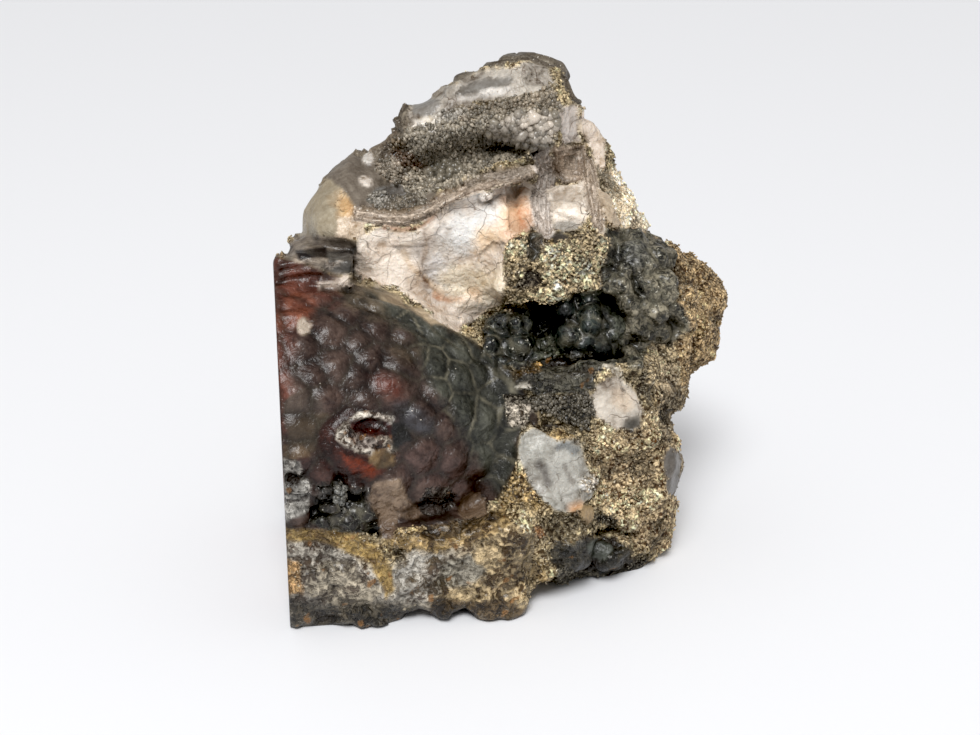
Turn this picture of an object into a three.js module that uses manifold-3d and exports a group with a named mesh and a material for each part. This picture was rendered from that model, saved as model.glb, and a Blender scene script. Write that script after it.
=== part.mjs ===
// A rough block of fire agate in its rock, in millimetres, +Z up. It is one natural stone: a bubbly
// agate dome at the front left, white quartz above it, a crystal-lined vug under the cap, a dark hollow
// with agate balls, and granular rock at the right, at the back and along the foot. It was sawn flat
// once, on its left, and it stands on its levelled underside.
import * as THREE from "three";
import { mergeVertices } from "three/addons/utils/BufferGeometryUtils.js";
import Module from "manifold-3d";

const wasm = await Module();
wasm.setup();

// Driving dimensions
const SAWN_X = -38; // plane of the saw cut
const BASE_Z = 0; // plane that the stone stands on
const SAW_SPARE = 1.5; // how far the uncut stone reaches past both planes
const STONE_LOW = [-44, -45, -6]; // box that the surface is looked for in
const STONE_HIGH = [56, 44, 95];
const WASTE = 200; // side of the blocks that cut the stone at both planes
const STEP = 1.6; // size of a facet of the first, even surface
const FACETS = 9600; // number of facets left once the flatter places are thinned

// The front view: outline and small lumps are placed on a plane VIEW_DISTANCE in front of an eye
// that stands in the plane of the saw cut, above and in front of the stone.
const EYE = new THREE.Vector3(SAWN_X, -280.4, 136);
const VIEW_YAW = THREE.MathUtils.degToRad(7.87);
const VIEW_PITCH = THREE.MathUtils.degToRad(20);
const VIEW_DISTANCE = 280;
const FORWARD = new THREE.Vector3(
  Math.sin(VIEW_YAW) * Math.cos(VIEW_PITCH),
  Math.cos(VIEW_YAW) * Math.cos(VIEW_PITCH),
  -Math.sin(VIEW_PITCH),
);
const RIGHT = new THREE.Vector3(Math.cos(VIEW_YAW), -Math.sin(VIEW_YAW), 0);
const UP = new THREE.Vector3().crossVectors(RIGHT, FORWARD);

// Outline of the stone in the front view, [across, up], clockwise from the top of the saw cut. On the
// left it runs on past the saw cut.
const OUTLINE = [
  [-60.0, 18.3], [-33.7, 18.6], [-33.4, 21.5], [-31.5, 22.9], [-31.5, 26.7], [-30.5, 28.9],
  [-28.1, 32.8], [-26.7, 34.9], [-21.6, 37.6], [-18.5, 39.1], [-16.8, 40.9], [-16.6, 42.8],
  [-13.7, 44.8], [-8.4, 47.2], [-5.8, 49.3], [-2.7, 51.2], [0.5, 52.4], [4.6, 53.0],
  [8.9, 52.9], [11.1, 51.7], [13.0, 48.8], [14.6, 46.2], [15.1, 44.8], [14.7, 41.9],
  [17.5, 41.1], [18.9, 38.8], [19.5, 35.2], [21.8, 30.9], [24.0, 27.5], [25.7, 24.6],
  [26.2, 22.9], [28.8, 20.7], [31.9, 19.5], [35.2, 18.1], [37.7, 16.2], [39.3, 14.5],
  [39.6, 10.0], [38.2, 4.2], [36.7, 1.6], [33.5, -0.8], [33.6, -3.7], [33.3, -6.3],
  [30.6, -7.6], [30.1, -9.3], [31.4, -14.1], [32.3, -17.6], [30.9, -21.2], [30.3, -23.1],
  [30.3, -26.1], [29.3, -29.4], [27.8, -30.4], [27.9, -32.5], [25.7, -34.0], [21.4, -35.4],
  [18.9, -35.7], [16.1, -34.9], [11.0, -35.9], [7.8, -38.0], [6.2, -40.1], [4.6, -42.4],
  [2.6, -43.3], [-2.7, -43.8], [-5.8, -43.0], [-10.1, -42.4], [-15.3, -43.5], [-22.6, -44.3],
  [-30.0, -44.8], [-60.0, -45.4],
];
const OUTLINE_SPARE = 0.6; // what the stone's rounded edges lose inside the outline

// The point at depth y on the sight line through [across, up] of the front view
function seen(across, up, y) {
  const sight = new THREE.Vector3()
    .copy(FORWARD)
    .multiplyScalar(VIEW_DISTANCE)
    .addScaledVector(RIGHT, across)
    .addScaledVector(UP, up);
  const q = EYE.clone().addScaledVector(sight, (y - EYE.y) / sight.y);
  return [q.x, q.y, q.z];
}

// Big masses: centre, radii or half sizes, turn in degrees [yaw about Z, pitch about X, roll about Y],
// edge radius of a block, and the width over which a mass blends into the others
const DOME = { at: [-48, -11, 26], size: [55, 25.5, 30.5], blend: 2 };
const MASSES = [
  DOME,
  { name: "foot", at: [-20, -6, 7], size: [23, 29.5, 11], edge: 3, blend: 2 },
  { name: "right foot", at: [14, -1, 11], size: [21, 22.5, 22], turn: [6, 0, 0], edge: 9, blend: 5 },
  { name: "shoulder", at: [7.5, -16.5, 13], size: [13, 16, 17], blend: 5 },
  { name: "belly", at: [20, -6, 24], size: [15, 19, 18], blend: 4 },
  { name: "back left", at: [-15, 11, 20], size: [26, 19, 29], turn: [14, -9, 8], edge: 7, blend: 5 },
  { name: "back right", at: [11, 13, 22], size: [23, 17, 27], turn: [-20, -7, -10], edge: 7, blend: 5 },
  { name: "white wall", at: [-4, 9, 52], size: [27, 15, 17], turn: [0, 14, 0], edge: 5, blend: 3 },
  { name: "left lobe", at: [-22.5, 12, 60], size: [13, 19, 12], blend: 3 },
  { name: "cap slope", at: [-6, 14, 68], size: [21, 19, 15], turn: [0, 0, -24], blend: 3 },
  { name: "cap", at: [6, 14, 77], size: [17, 17, 13], turn: [0, 0, -14], blend: 3 },
  { name: "fold", at: [22, 14, 62], size: [9, 15, 15], blend: 3 },
  { name: "saddle", at: seen(22.3, 21.9, 8), size: [9, 13, 9], blend: 4 },
  { name: "hollow wall", at: [25, 3, 46], size: [12, 16, 14], turn: [0, 0, 20], blend: 3 },
  { name: "hollow roof", at: [13, 0, 53], size: [12, 12, 6], turn: [0, 0, 12], edge: 3, blend: 4 },
  { name: "ledge", at: [14, -12, 33], size: [14, 13, 7], turn: [-8, -8, 4], edge: 3, blend: 4 },
  { name: "fin", at: [31, 2, 33], size: [4.5, 13, 17], turn: [10, 0, 0], edge: 3, blend: 3 },
  { name: "back lobe", at: [38, 15, 37], size: [14, 14, 15], turn: [0, 0, 20], blend: 2 },
];

// Hollows cut out of the masses
const HOLLOWS = [
  { name: "hollow", at: [8.5, -15, 44.5], size: [9.5, 11, 5], turn: [0, 0, 8], blend: 2 },
  { name: "hollow right", at: [17, -13, 43.5], size: [7.5, 8, 6.5], turn: [0, 0, 8], blend: 2 },
  { name: "vug", at: [-5.8, -3, 71.9], size: [13.5, 8, 5], turn: [0, 0, -18], blend: 2 },
  { name: "vug slit", at: [3.5, -2, 73.2], size: [5.5, 7, 1.5], turn: [0, 0, -14], blend: 1 },
  { name: "vug end", at: [-15, -3, 73.4], size: [4.5, 7, 3], turn: [0, 0, -30], blend: 1 },
  { name: "broken pit", at: [-32.5, -36, 24.6], size: [9, 4, 5.5], blend: 2 },
  { name: "undercut", at: [-11.7, -34, 0], size: [5, 6, 1.6], blend: 1 },
  { name: "notch", at: [5.8, -28, 0], size: [4, 7, 5], turn: [30, 0, 0], blend: 2 },
  { name: "eye pit", at: [18, -24, 7.2], size: [7, 4, 4], blend: 1.5 },
  { name: "side notch", at: [35.6, 0, 21.1], size: [3, 12, 3], blend: 1.5 },
  { name: "back scoop", at: [-14, 44, 40], size: [26, 16, 17], turn: [12, 0, 10], blend: 2 },
  { name: "low scoop", at: [16, 38, 6], size: [20, 11, 17], turn: [-14, 0, 0], blend: 2 },
  { name: "top scoop", at: [-4, 36, 84], size: [20, 12, 15], turn: [0, 0, -20], blend: 2 },
];

// Lumps, balls and ledges that stand out of the masses
const LUMPS = [
  { name: "ball", at: seen(17.5, 6.0, -12), size: [4.4, 4.4, 4.6], blend: 0.5 },
  { name: "low ball", at: seen(13.7, 4.2, -13.5), size: [3.6, 3.6, 3.1], blend: 0.5 },
  { name: "high ball", at: seen(13.2, 8.3, -11), size: [2.8, 3, 2.5], blend: 0.5 },
  { name: "top ball", at: seen(16.0, 10.6, -9), size: [3, 3, 2.6], blend: 0.5 },
  { name: "left ball", at: seen(4.3, 6.9, -12), size: [2.8, 3.2, 2.9], blend: 0.5 },
  { name: "left knob", at: seen(1.2, 5.1, -12), size: [2.8, 3, 2.4], blend: 0.5 },
  { name: "front ball", at: seen(0.6, 2.4, -15), size: [3.8, 3.4, 2.6], blend: 0.5 },
  { name: "front knob", at: seen(4.2, 3.0, -15.5), size: [2.6, 2.8, 2.4], blend: 0.5 },
  { name: "floor knob", at: seen(6.6, 1.4, -16.5), size: [2.4, 2.4, 2.0], blend: 0.5 },
  { name: "wall knob", at: seen(22.0, 5.4, -10), size: [3.2, 3, 3.4], blend: 0.5 },
  { name: "nodule", at: [19.5, -20, 32.9], size: [5.2, 3.6, 5.6], blend: 0.5 },
  { name: "eye", at: [18.1, -23, 6.4], size: [4, 3.4, 2.8], blend: 0.5 },
  { name: "lip", at: [-30.1, -3, 57.2], size: [7, 12, 3], turn: [0, 0, 6], blend: 1 },
  { name: "band", at: [-10.6, -5, 65.6], size: [20, 4, 1.8], turn: [0, 0, -16], blend: 1.5 },
  { name: "quartz", at: [8.1, -26, 23.2], size: [7, 4, 8.5], turn: [0, 0, -20], blend: 1.5 },
  { name: "right knob", at: [33.7, -6, 13], size: [4, 7, 5], blend: 1.5 },
];

// Flat breaks that bound the stone where the front view doesn't reach: the way each one faces, in
// degrees round from the front and up, and its distance from MIDDLE
const MIDDLE = [5, 0, 40];
const BREAKS = [
  { round: 180, up: 8, distance: 30 },
  { round: 150, up: -12, distance: 36 },
  { round: 205, up: 20, distance: 30 },
  { round: 170, up: 45, distance: 46 },
  { round: 130, up: 25, distance: 38 },
  { round: 190, up: -25, distance: 35 },
];
const BREAK_BLEND = 1.5; // roundness of the edges between the breaks

// The narrow dark hole between the balls
const DEEP_HOLE = { at: [9.3, -13, 44], size: [2.8, 12, 4], blend: 1 };

// Bubbles of the dome that stand out by their size: [across, up] in the front view, and radius
const LARGE_BUBBLES = [
  [-22.6, -13.2, 6.9], [-16.6, -3.7, 4.8], [-11.5, -15.0, 3.8], [-15.3, 0.3, 3.6],
  [-12.2, -8.5, 3.6], [-10.3, -21.0, 3.6], [-16.1, -19.3, 3.6], [-27.6, 6.3, 3.4],
  [-33.1, -4.7, 3.4], [-4.8, -7.6, 3.4], [-6.0, -15.9, 3.4], [-1.0, -9.0, 3.2],
  [-1.7, -16.7, 3.2], [-4.8, -21.9, 3.2], [-33.1, 8.5, 3.0], [-5.1, -1.5, 3.0],
  [-26.4, 0.3, 2.9], [-9.1, -4.4, 2.9], [-28.6, -5.1, 2.8], [-14.6, 5.6, 2.8],
  [-5.1, 2.8, 2.7], [-30.3, -1.8, 2.6], [-7.7, -10.2, 2.6], [-24.9, 9.5, 2.6],
  [-19.7, 7.3, 2.6], [-20.7, 1.6, 2.4], [-2.1, -0.8, 2.2], [-22.6, 4.2, 2.0],
];
const BUBBLE_TRIES = 4500; // tries at filling the rest of the dome with small bubbles
const BUBBLE_LARGEST = 3.2;
const BUBBLE_SMALLEST = 1.8;
const BUBBLE_SINK = 0.64; // how far a bubble's centre lies below the dome, in radii
const BUBBLE_GAP = 0.62; // closest that two bubbles' centres come, in the sum of their radii
const BUBBLE_BLEND = 0.7;
const BUBBLE_BACK_Y = 12; // bubbles only grow in front of this
const BUBBLE_FOOT_Z = 14; // and above this

// Roughness of the broken rock: wavelength and height of each layer of ridges, and the depths
// between which it grows to that height
const ROUGHNESS = [
  { wavelength: 9, height: 1.5, none: -90, all: -80 },
  { wavelength: 4.5, height: 0.5, none: -90, all: -80 },
  { wavelength: 17, height: 3.5, none: 2, all: 22 },
];
const ROUGH_FADE = 3; // distance from the dome over which the roughness sets in
const OUTLINE_BLEND = 3; // roundness of the stone's outer edges
const SETTLE = 0.35; // how far a vertex may move onto the surface, in facets
const NEAR = 8; // outline and bubbles are only looked at this near to the surface
const FIRST_LIMIT = 1e-4; // error that the first round of thinning accepts, in mm^4
const LIMIT_GROWTH = 1.3; // growth of that error from round to round
const LENGTH_COST = 0.01; // extra error for long edges, so that facets stay even
const MOST_TURN = 0.3; // cosine of the most that thinning may turn a facet

const { abs, cos, floor, hypot, imul, max, min, PI, sin, sqrt } = Math;

// A repeatable number from 0 to 1 for a cell of whole numbers
function cellValue(x, y, z, seed) {
  let h = (imul(x, 374761393) + imul(y, 668265263) + imul(z, 2147483647) + imul(seed, 1274126177)) >>> 0;
  h = imul(h ^ (h >>> 13), 1274126177) >>> 0;
  h = imul(h ^ (h >>> 16), 2246822519) >>> 0;
  return ((h ^ (h >>> 15)) >>> 0) / 4294967295;
}

// Smooth noise from -1 to 1 with a wavelength of 1
function noise(x, y, z, seed) {
  const cell = [floor(x), floor(y), floor(z)];
  const [sx, sy, sz] = [x - cell[0], y - cell[1], z - cell[2]].map((t) => t * t * (3 - 2 * t));
  let sum = 0;
  for (let i = 0; i < 2; i++)
    for (let j = 0; j < 2; j++)
      for (let k = 0; k < 2; k++)
        sum +=
          (i ? sx : 1 - sx) * (j ? sy : 1 - sy) * (k ? sz : 1 - sz) *
          cellValue(cell[0] + i, cell[1] + j, cell[2] + k, seed);
  return sum * 2 - 1;
}

function smoothMin(a, b, width) {
  const h = max(width - abs(a - b), 0) / width;
  return min(a, b) - (h * h * width) / 4;
}

const smoothMax = (a, b, width) => -smoothMin(-a, -b, width);

// 0 below none, 1 above all, and in proportion between them
const rise = (v, none, all) => min(max((v - none) / (all - none), 0), 1);

// Rows of the rotation that carries a shape's own axes to the stone's: roll, then pitch, then yaw
function turnRows(turn = [0, 0, 0]) {
  const [yaw, pitch, roll] = turn.map(THREE.MathUtils.degToRad);
  const m = new THREE.Matrix4()
    .makeRotationZ(yaw)
    .multiply(new THREE.Matrix4().makeRotationX(pitch))
    .multiply(new THREE.Matrix4().makeRotationY(roll)).elements;
  return [m.slice(0, 3), m.slice(4, 7), m.slice(8, 11)];
}

// Distance from p to a rounded block, or to an ellipsoid where the shape has no edge radius
function shapeDistance(shape, p) {
  const rows = (shape.rows ??= turnRows(shape.turn));
  const [dx, dy, dz] = [p[0] - shape.at[0], p[1] - shape.at[1], p[2] - shape.at[2]];
  const own = (row) => dx * row[0] + dy * row[1] + dz * row[2];
  const [x, y, z] = [own(rows[0]), own(rows[1]), own(rows[2])];
  const [sx, sy, sz] = shape.size;
  if (shape.edge === undefined) {
    const near = hypot(x / sx, y / sy, z / sz);
    const steep = hypot(x / (sx * sx), y / (sy * sy), z / (sz * sz));
    return (near * (near - 1)) / max(steep, 1e-6);
  }
  const [ox, oy, oz] = [abs(x) - sx + shape.edge, abs(y) - sy + shape.edge, abs(z) - sz + shape.edge];
  return hypot(max(ox, 0), max(oy, 0), max(oz, 0)) + min(max(ox, oy, oz), 0) - shape.edge;
}

// Distance from p to the nearest break, negative inside
function breakDistance(p) {
  let nearest = -1e3;
  for (const side of BREAKS) {
    side.facing ??= new THREE.Vector3(0, -1, 0)
      .applyAxisAngle(new THREE.Vector3(1, 0, 0), THREE.MathUtils.degToRad(-side.up))
      .applyAxisAngle(new THREE.Vector3(0, 0, 1), THREE.MathUtils.degToRad(side.round));
    const { x, y, z } = side.facing;
    const out = (p[0] - MIDDLE[0]) * x + (p[1] - MIDDLE[1]) * y + (p[2] - MIDDLE[2]) * z;
    nearest = smoothMax(nearest, out - side.distance, BREAK_BLEND);
  }
  return nearest;
}

// Distance in the front view from p to the outline, negative inside
function outlineDistance(p) {
  const d = [p[0] - EYE.x, p[1] - EYE.y, p[2] - EYE.z];
  const along = (axis) => d[0] * axis.x + d[1] * axis.y + d[2] * axis.z;
  const scale = along(FORWARD) / VIEW_DISTANCE;
  const [x, y] = [along(RIGHT) / scale, along(UP) / scale];
  let best = Infinity;
  let inside = false;
  OUTLINE.forEach(([ax, ay], i) => {
    const [bx, by] = OUTLINE[(i + 1) % OUTLINE.length];
    const [ex, ey, wx, wy] = [bx - ax, by - ay, x - ax, y - ay];
    const t = min(max((wx * ex + wy * ey) / (ex * ex + ey * ey), 0), 1);
    best = min(best, hypot(wx - ex * t, wy - ey * t));
    if (ay > y !== by > y && x < ax + ((y - ay) * ex) / ey) inside = !inside;
  });
  return (inside ? -best : best) * scale - OUTLINE_SPARE;
}

// The dome's outer point on the sight line through [across, up], sunk below the surface
function onDome(across, up, sink) {
  const [near, far] = [seen(across, up, EYE.y), seen(across, up, DOME.at[1])];
  const scaled = (q) => q.map((v, i) => (v - DOME.at[i]) / DOME.size[i]);
  const o = scaled(near);
  const e = scaled(far).map((v, i) => v - o[i]);
  const dot = (a, b) => a[0] * b[0] + a[1] * b[1] + a[2] * b[2];
  const [a, b, c] = [dot(e, e), 2 * dot(o, e), dot(o, o) - 1];
  const t = (-b - sqrt(b * b - 4 * a * c)) / (2 * a);
  return sinkBelowDome(o.map((v, i) => v + e[i] * t), sink);
}

// A direction on the unit ball, laid on the dome and sunk below its surface
function sinkBelowDome(direction, sink) {
  const normal = direction.map((v, i) => v / DOME.size[i]);
  const length = hypot(...normal);
  return direction.map((v, i) => DOME.at[i] + v * DOME.size[i] - (normal[i] / length) * sink);
}

// Bubbles as {at, radius}: the large ones, then ever smaller ones wherever there is room
function growBubbles() {
  const grown = LARGE_BUBBLES.map(([across, up, radius]) => ({
    at: onDome(across, up, radius * BUBBLE_SINK),
    radius,
  }));
  for (let i = 0; i < BUBBLE_TRIES; i++) {
    const share = i / BUBBLE_TRIES;
    const radius = BUBBLE_LARGEST + (BUBBLE_SMALLEST - BUBBLE_LARGEST) * share;
    const height = cellValue(i, 0, 0, 5) * 2 - 1;
    const angle = cellValue(i, 1, 0, 5) * 2 * PI;
    const ring = sqrt(1 - height * height);
    const at = sinkBelowDome([cos(angle) * ring, sin(angle) * ring, height], radius * BUBBLE_SINK);
    if (at[0] < SAWN_X - radius || at[1] > BUBBLE_BACK_Y || at[2] < BUBBLE_FOOT_Z) continue;
    const free = (b) =>
      hypot(at[0] - b.at[0], at[1] - b.at[1], at[2] - b.at[2]) > BUBBLE_GAP * (radius + b.radius);
    if (grown.every(free)) grown.push({ at, radius });
  }
  return grown;
}

const BUBBLES = growBubbles();

// Distance from p to the whole stone before it was cut, negative inside
function stoneDistance(p) {
  let d = 1e3;
  for (const mass of MASSES) d = smoothMin(d, shapeDistance(mass, p), mass.blend);
  for (const hollow of HOLLOWS) d = smoothMax(d, -shapeDistance(hollow, p), hollow.blend);
  for (const lump of LUMPS) d = smoothMin(d, shapeDistance(lump, p), lump.blend);
  d = smoothMax(d, -shapeDistance(DEEP_HOLE, p), DEEP_HOLE.blend);
  d = smoothMax(d, breakDistance(p), BREAK_BLEND);
  if (abs(d) < NEAR) {
    let bubble = Infinity;
    for (const { at, radius } of BUBBLES)
      bubble = min(bubble, hypot(p[0] - at[0], p[1] - at[1], p[2] - at[2]) - radius);
    d = smoothMin(d, bubble, BUBBLE_BLEND);
  }
  if (d < NEAR) {
    d = smoothMax(d, outlineDistance(p), OUTLINE_BLEND);
    const rough = rise(shapeDistance(DOME, p), 0, ROUGH_FADE);
    if (rough > 0)
      ROUGHNESS.forEach(({ wavelength, height, none, all }, i) => {
        const [x, y, z] = p.map((v) => v / wavelength);
        d += rough * rise(p[1], none, all) * height * (abs(noise(x, y, z, i + 1)) - 0.25);
      });
  }
  return max(d, SAWN_X - SAW_SPARE - p[0], BASE_Z - SAW_SPARE - p[2]);
}

// Where the four corners of a grid square are inside and outside by turns, two walls of the surface
// would share an edge. This moves the inner corner nearest to the surface just outside.
function partTouchingWalls(values, count, index) {
  const justOutside = 1e-3;
  let moved = true;
  while (moved) {
    moved = false;
    for (let i = 0; i < count[0] - 1; i++)
      for (let j = 0; j < count[1] - 1; j++)
        for (let k = 0; k < count[2] - 1; k++)
          for (const [[a, b, c], [d, e, f]] of [
            [[1, 0, 0], [0, 1, 0]],
            [[1, 0, 0], [0, 0, 1]],
            [[0, 1, 0], [0, 0, 1]],
          ]) {
            const square = [
              index(i, j, k),
              index(i + a, j + b, k + c),
              index(i + a + d, j + b + e, k + c + f),
              index(i + d, j + e, k + f),
            ];
            const inside = square.map((n) => values[n] < 0);
            if (inside[0] !== inside[2] || inside[1] !== inside[3] || inside[0] === inside[1]) continue;
            const [p, q] = inside[0] ? [square[0], square[2]] : [square[1], square[3]];
            values[values[p] > values[q] ? p : q] = justOutside;
            moved = true;
          }
  }
}

// p moved onto the surface, by no more than reach
function settled(p, distance, reach) {
  const probe = 0.05;
  const here = distance(p);
  const slope = p.map((v, i) => (distance(p.with(i, v + probe)) - here) / probe);
  const steep = max(hypot(...slope), 0.3);
  const move = min(max(here / steep, -reach), reach) / steep;
  return p.map((v, i) => v - slope[i] * move);
}

// A closed surface where distance(p) crosses zero, with one vertex in each cell that it passes
function netSurface(distance, low, high, step) {
  const count = low.map((v, i) => floor((high[i] - v) / step) + 2);
  const [nx, ny, nz] = count;
  const values = new Float64Array(nx * ny * nz);
  const index = (i, j, k) => (i * ny + j) * nz + k;
  for (let i = 0; i < nx; i++)
    for (let j = 0; j < ny; j++)
      for (let k = 0; k < nz; k++)
        values[index(i, j, k)] = distance([low[0] + i * step, low[1] + j * step, low[2] + k * step]);
  partTouchingWalls(values, count, index);

  const positions = [];
  const vertexOf = new Int32Array(nx * ny * nz).fill(-1);
  const edges = [];
  for (let corner = 0; corner < 8; corner++)
    for (let axis = 0; axis < 3; axis++)
      if (!((corner >> axis) & 1)) edges.push([corner, corner | (1 << axis), axis]);
  const offset = (corner) => [corner & 1, (corner >> 1) & 1, (corner >> 2) & 1];
  for (let i = 0; i < nx - 1; i++)
    for (let j = 0; j < ny - 1; j++)
      for (let k = 0; k < nz - 1; k++) {
        const sum = [0, 0, 0];
        let crossings = 0;
        for (const [from, to, axis] of edges) {
          const [a, b] = [from, to].map((corner) => {
            const o = offset(corner);
            return values[index(i + o[0], j + o[1], k + o[2])];
          });
          if (a < 0 === b < 0) continue;
          const o = offset(from);
          o[axis] += a / (a - b);
          o.forEach((v, n) => (sum[n] += v));
          crossings++;
        }
        if (!crossings) continue;
        vertexOf[index(i, j, k)] = positions.length / 3;
        const middle = [i, j, k].map((v, n) => low[n] + (v + sum[n] / crossings) * step);
        positions.push(...settled(middle, distance, step * SETTLE));
      }

  const faces = [];
  for (let i = 1; i < nx - 1; i++)
    for (let j = 1; j < ny - 1; j++)
      for (let k = 1; k < nz - 1; k++) {
        const here = values[index(i, j, k)] < 0;
        const around = [
          [index(i + 1, j, k), [[0, -1, -1], [0, 0, -1], [0, 0, 0], [0, -1, 0]]],
          [index(i, j + 1, k), [[-1, 0, -1], [-1, 0, 0], [0, 0, 0], [0, 0, -1]]],
          [index(i, j, k + 1), [[-1, -1, 0], [0, -1, 0], [0, 0, 0], [-1, 0, 0]]],
        ];
        for (const [next, ring] of around) {
          if (here === values[next] < 0) continue;
          const q = ring.map(([a, b, c]) => vertexOf[index(i + a, j + b, k + c)]);
          if (!here) q.reverse();
          faces.push(q[0], q[1], q[2], q[0], q[2], q[3]);
        }
      }
  const geometry = new THREE.BufferGeometry();
  geometry.setAttribute("position", new THREE.Float32BufferAttribute(positions, 3));
  geometry.setIndex(faces);
  return geometry;
}

const normalOf = (points) => new THREE.Triangle(...points).getNormal(new THREE.Vector3());

// The error form of a facet's plane: the ten different products of the plane's four numbers, times
// the facet's area
function planeForm(points) {
  const normal = normalOf(points);
  const row = [...normal.toArray(), -normal.dot(points[0])];
  const area = new THREE.Triangle(...points).getArea();
  return row.flatMap((v, i) => row.slice(i).map((w) => v * w * area));
}

// The error of a form at a point: squared distance to its planes, times their facets' areas
function formError(f, { x, y, z }) {
  return (
    f[0] * x * x + f[4] * y * y + f[7] * z * z + f[9] +
    2 * (f[1] * x * y + f[2] * x * z + f[3] * x + f[5] * y * z + f[6] * y + f[8] * z)
  );
}

// The surface with fewer facets: edges are drawn together where that changes the shape the least
function thinned(geometry, facets) {
  const { position } = geometry.attributes;
  const at = [];
  for (let i = 0; i < position.count; i++) at.push(new THREE.Vector3().fromBufferAttribute(position, i));
  const facesOf = at.map(() => new Set());
  const faces = new Set();
  for (let i = 0; i < geometry.index.count; i += 3) {
    const face = [0, 1, 2].map((n) => geometry.index.getX(i + n));
    faces.add(face);
    face.forEach((v) => facesOf[v].add(face));
  }
  const corners = (face) => face.map((v) => at[v]);
  const forms = at.map(() => new Array(10).fill(0));
  for (const face of faces) {
    const form = planeForm(corners(face));
    face.forEach((v) => form.forEach((w, i) => (forms[v][i] += w)));
  }
  const neighbours = (v) => new Set([...facesOf[v]].flat());

  // Facets around v that don't touch its partner must keep facing much the same way
  function keepsFacing(v, partner, target) {
    for (const face of facesOf[v]) {
      if (face.includes(partner)) continue;
      const moved = face.map((w) => (w === v ? target : at[w]));
      if (normalOf(moved).dot(normalOf(corners(face))) < MOST_TURN) return false;
    }
    return true;
  }

  function tryCollapse(a, b, limit) {
    const form = forms[a].map((v, i) => v + forms[b][i]);
    const middle = at[a].clone().lerp(at[b], 0.5);
    const length = at[a].distanceToSquared(at[b]);
    const cost = (p) => formError(form, p) + length * LENGTH_COST;
    const target = [middle, at[a], at[b]].reduce((best, p) => (cost(p) < cost(best) ? p : best)).clone();
    if (cost(target) > limit) return;
    const around = neighbours(b);
    const shared = [...neighbours(a)].filter((v) => around.has(v));
    if (shared.length !== 4) return; // a, b and the far corners of the two facets between them
    if (!keepsFacing(a, b, target) || !keepsFacing(b, a, target)) return;
    at[a].copy(target);
    forms[a] = form;
    for (const face of facesOf[b]) {
      if (face.includes(a)) {
        faces.delete(face);
        face.forEach((v) => facesOf[v].delete(face));
      } else {
        face[face.indexOf(b)] = a;
        facesOf[a].add(face);
      }
    }
  }

  for (let limit = FIRST_LIMIT; faces.size > facets; limit *= LIMIT_GROWTH)
    for (const face of faces) {
      if (faces.size <= facets) break;
      for (const [i, j] of [[0, 1], [1, 2], [2, 0]])
        if (faces.has(face)) tryCollapse(face[i], face[j], limit);
    }

  const thin = new THREE.BufferGeometry();
  thin.setAttribute("position", new THREE.Float32BufferAttribute(at.flatMap((p) => p.toArray()), 3));
  thin.setIndex([...faces].flat());
  return thin;
}

function toSolid(geometry) {
  const bare = geometry.clone();
  bare.deleteAttribute("normal");
  bare.deleteAttribute("uv");
  const merged = mergeVertices(bare);
  return new wasm.Manifold(
    new wasm.Mesh({
      numProp: 3,
      vertProperties: new Float32Array(merged.attributes.position.array),
      triVerts: new Uint32Array(merged.index.array),
    }),
  );
}

function toGeometry(solid) {
  const { vertProperties, triVerts } = solid.getMesh();
  const geometry = new THREE.BufferGeometry();
  geometry.setAttribute("position", new THREE.BufferAttribute(vertProperties, 3));
  geometry.setIndex(new THREE.BufferAttribute(triVerts, 1));
  geometry.computeVertexNormals();
  return geometry;
}

// A block larger than the stone with its centre at x, z
function wasteBlock(x, z) {
  return toSolid(new THREE.BoxGeometry(WASTE, WASTE, WASTE).translate(x, 0, z));
}

// The stone with everything left of the saw cut and below the base taken away
function sawnStone() {
  const left = wasteBlock(SAWN_X - WASTE / 2, 0);
  const below = wasteBlock(0, BASE_Z - WASTE / 2);
  const uncut = thinned(netSurface(stoneDistance, STONE_LOW, STONE_HIGH, STEP), FACETS);
  return toSolid(uncut).subtract(left).subtract(below);
}

const agate = new THREE.MeshStandardMaterial({ color: 0x5b4a3c, roughness: 0.55, metalness: 0 });
const stone = new THREE.Mesh(toGeometry(sawnStone()), agate);
stone.name = "fire_agate_rough";

const group = new THREE.Group();
group.add(stone);
export default group;
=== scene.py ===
import math

import bpy
import numpy as np
from mathutils import Matrix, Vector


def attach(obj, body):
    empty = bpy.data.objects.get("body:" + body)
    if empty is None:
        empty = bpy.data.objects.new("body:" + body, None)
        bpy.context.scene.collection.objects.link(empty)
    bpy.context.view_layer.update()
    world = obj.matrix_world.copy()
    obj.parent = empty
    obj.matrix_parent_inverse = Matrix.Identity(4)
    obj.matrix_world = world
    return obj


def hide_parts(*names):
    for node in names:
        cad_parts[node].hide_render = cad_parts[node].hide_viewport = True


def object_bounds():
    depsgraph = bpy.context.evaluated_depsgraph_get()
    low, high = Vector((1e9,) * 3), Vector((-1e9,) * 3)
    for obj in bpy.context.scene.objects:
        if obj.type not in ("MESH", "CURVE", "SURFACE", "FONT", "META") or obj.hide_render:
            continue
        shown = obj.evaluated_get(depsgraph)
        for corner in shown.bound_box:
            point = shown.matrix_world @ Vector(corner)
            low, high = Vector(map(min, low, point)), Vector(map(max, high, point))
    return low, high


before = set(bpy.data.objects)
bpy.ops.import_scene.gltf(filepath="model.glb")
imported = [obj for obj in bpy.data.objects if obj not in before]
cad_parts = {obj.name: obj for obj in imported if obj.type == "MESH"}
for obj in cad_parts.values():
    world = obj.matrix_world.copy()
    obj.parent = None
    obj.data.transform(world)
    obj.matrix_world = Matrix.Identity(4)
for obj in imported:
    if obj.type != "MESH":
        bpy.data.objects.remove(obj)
cad_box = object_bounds()

MM = 0.001
SAWN_X = -38.0
BASE_Z = 0.0

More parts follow.
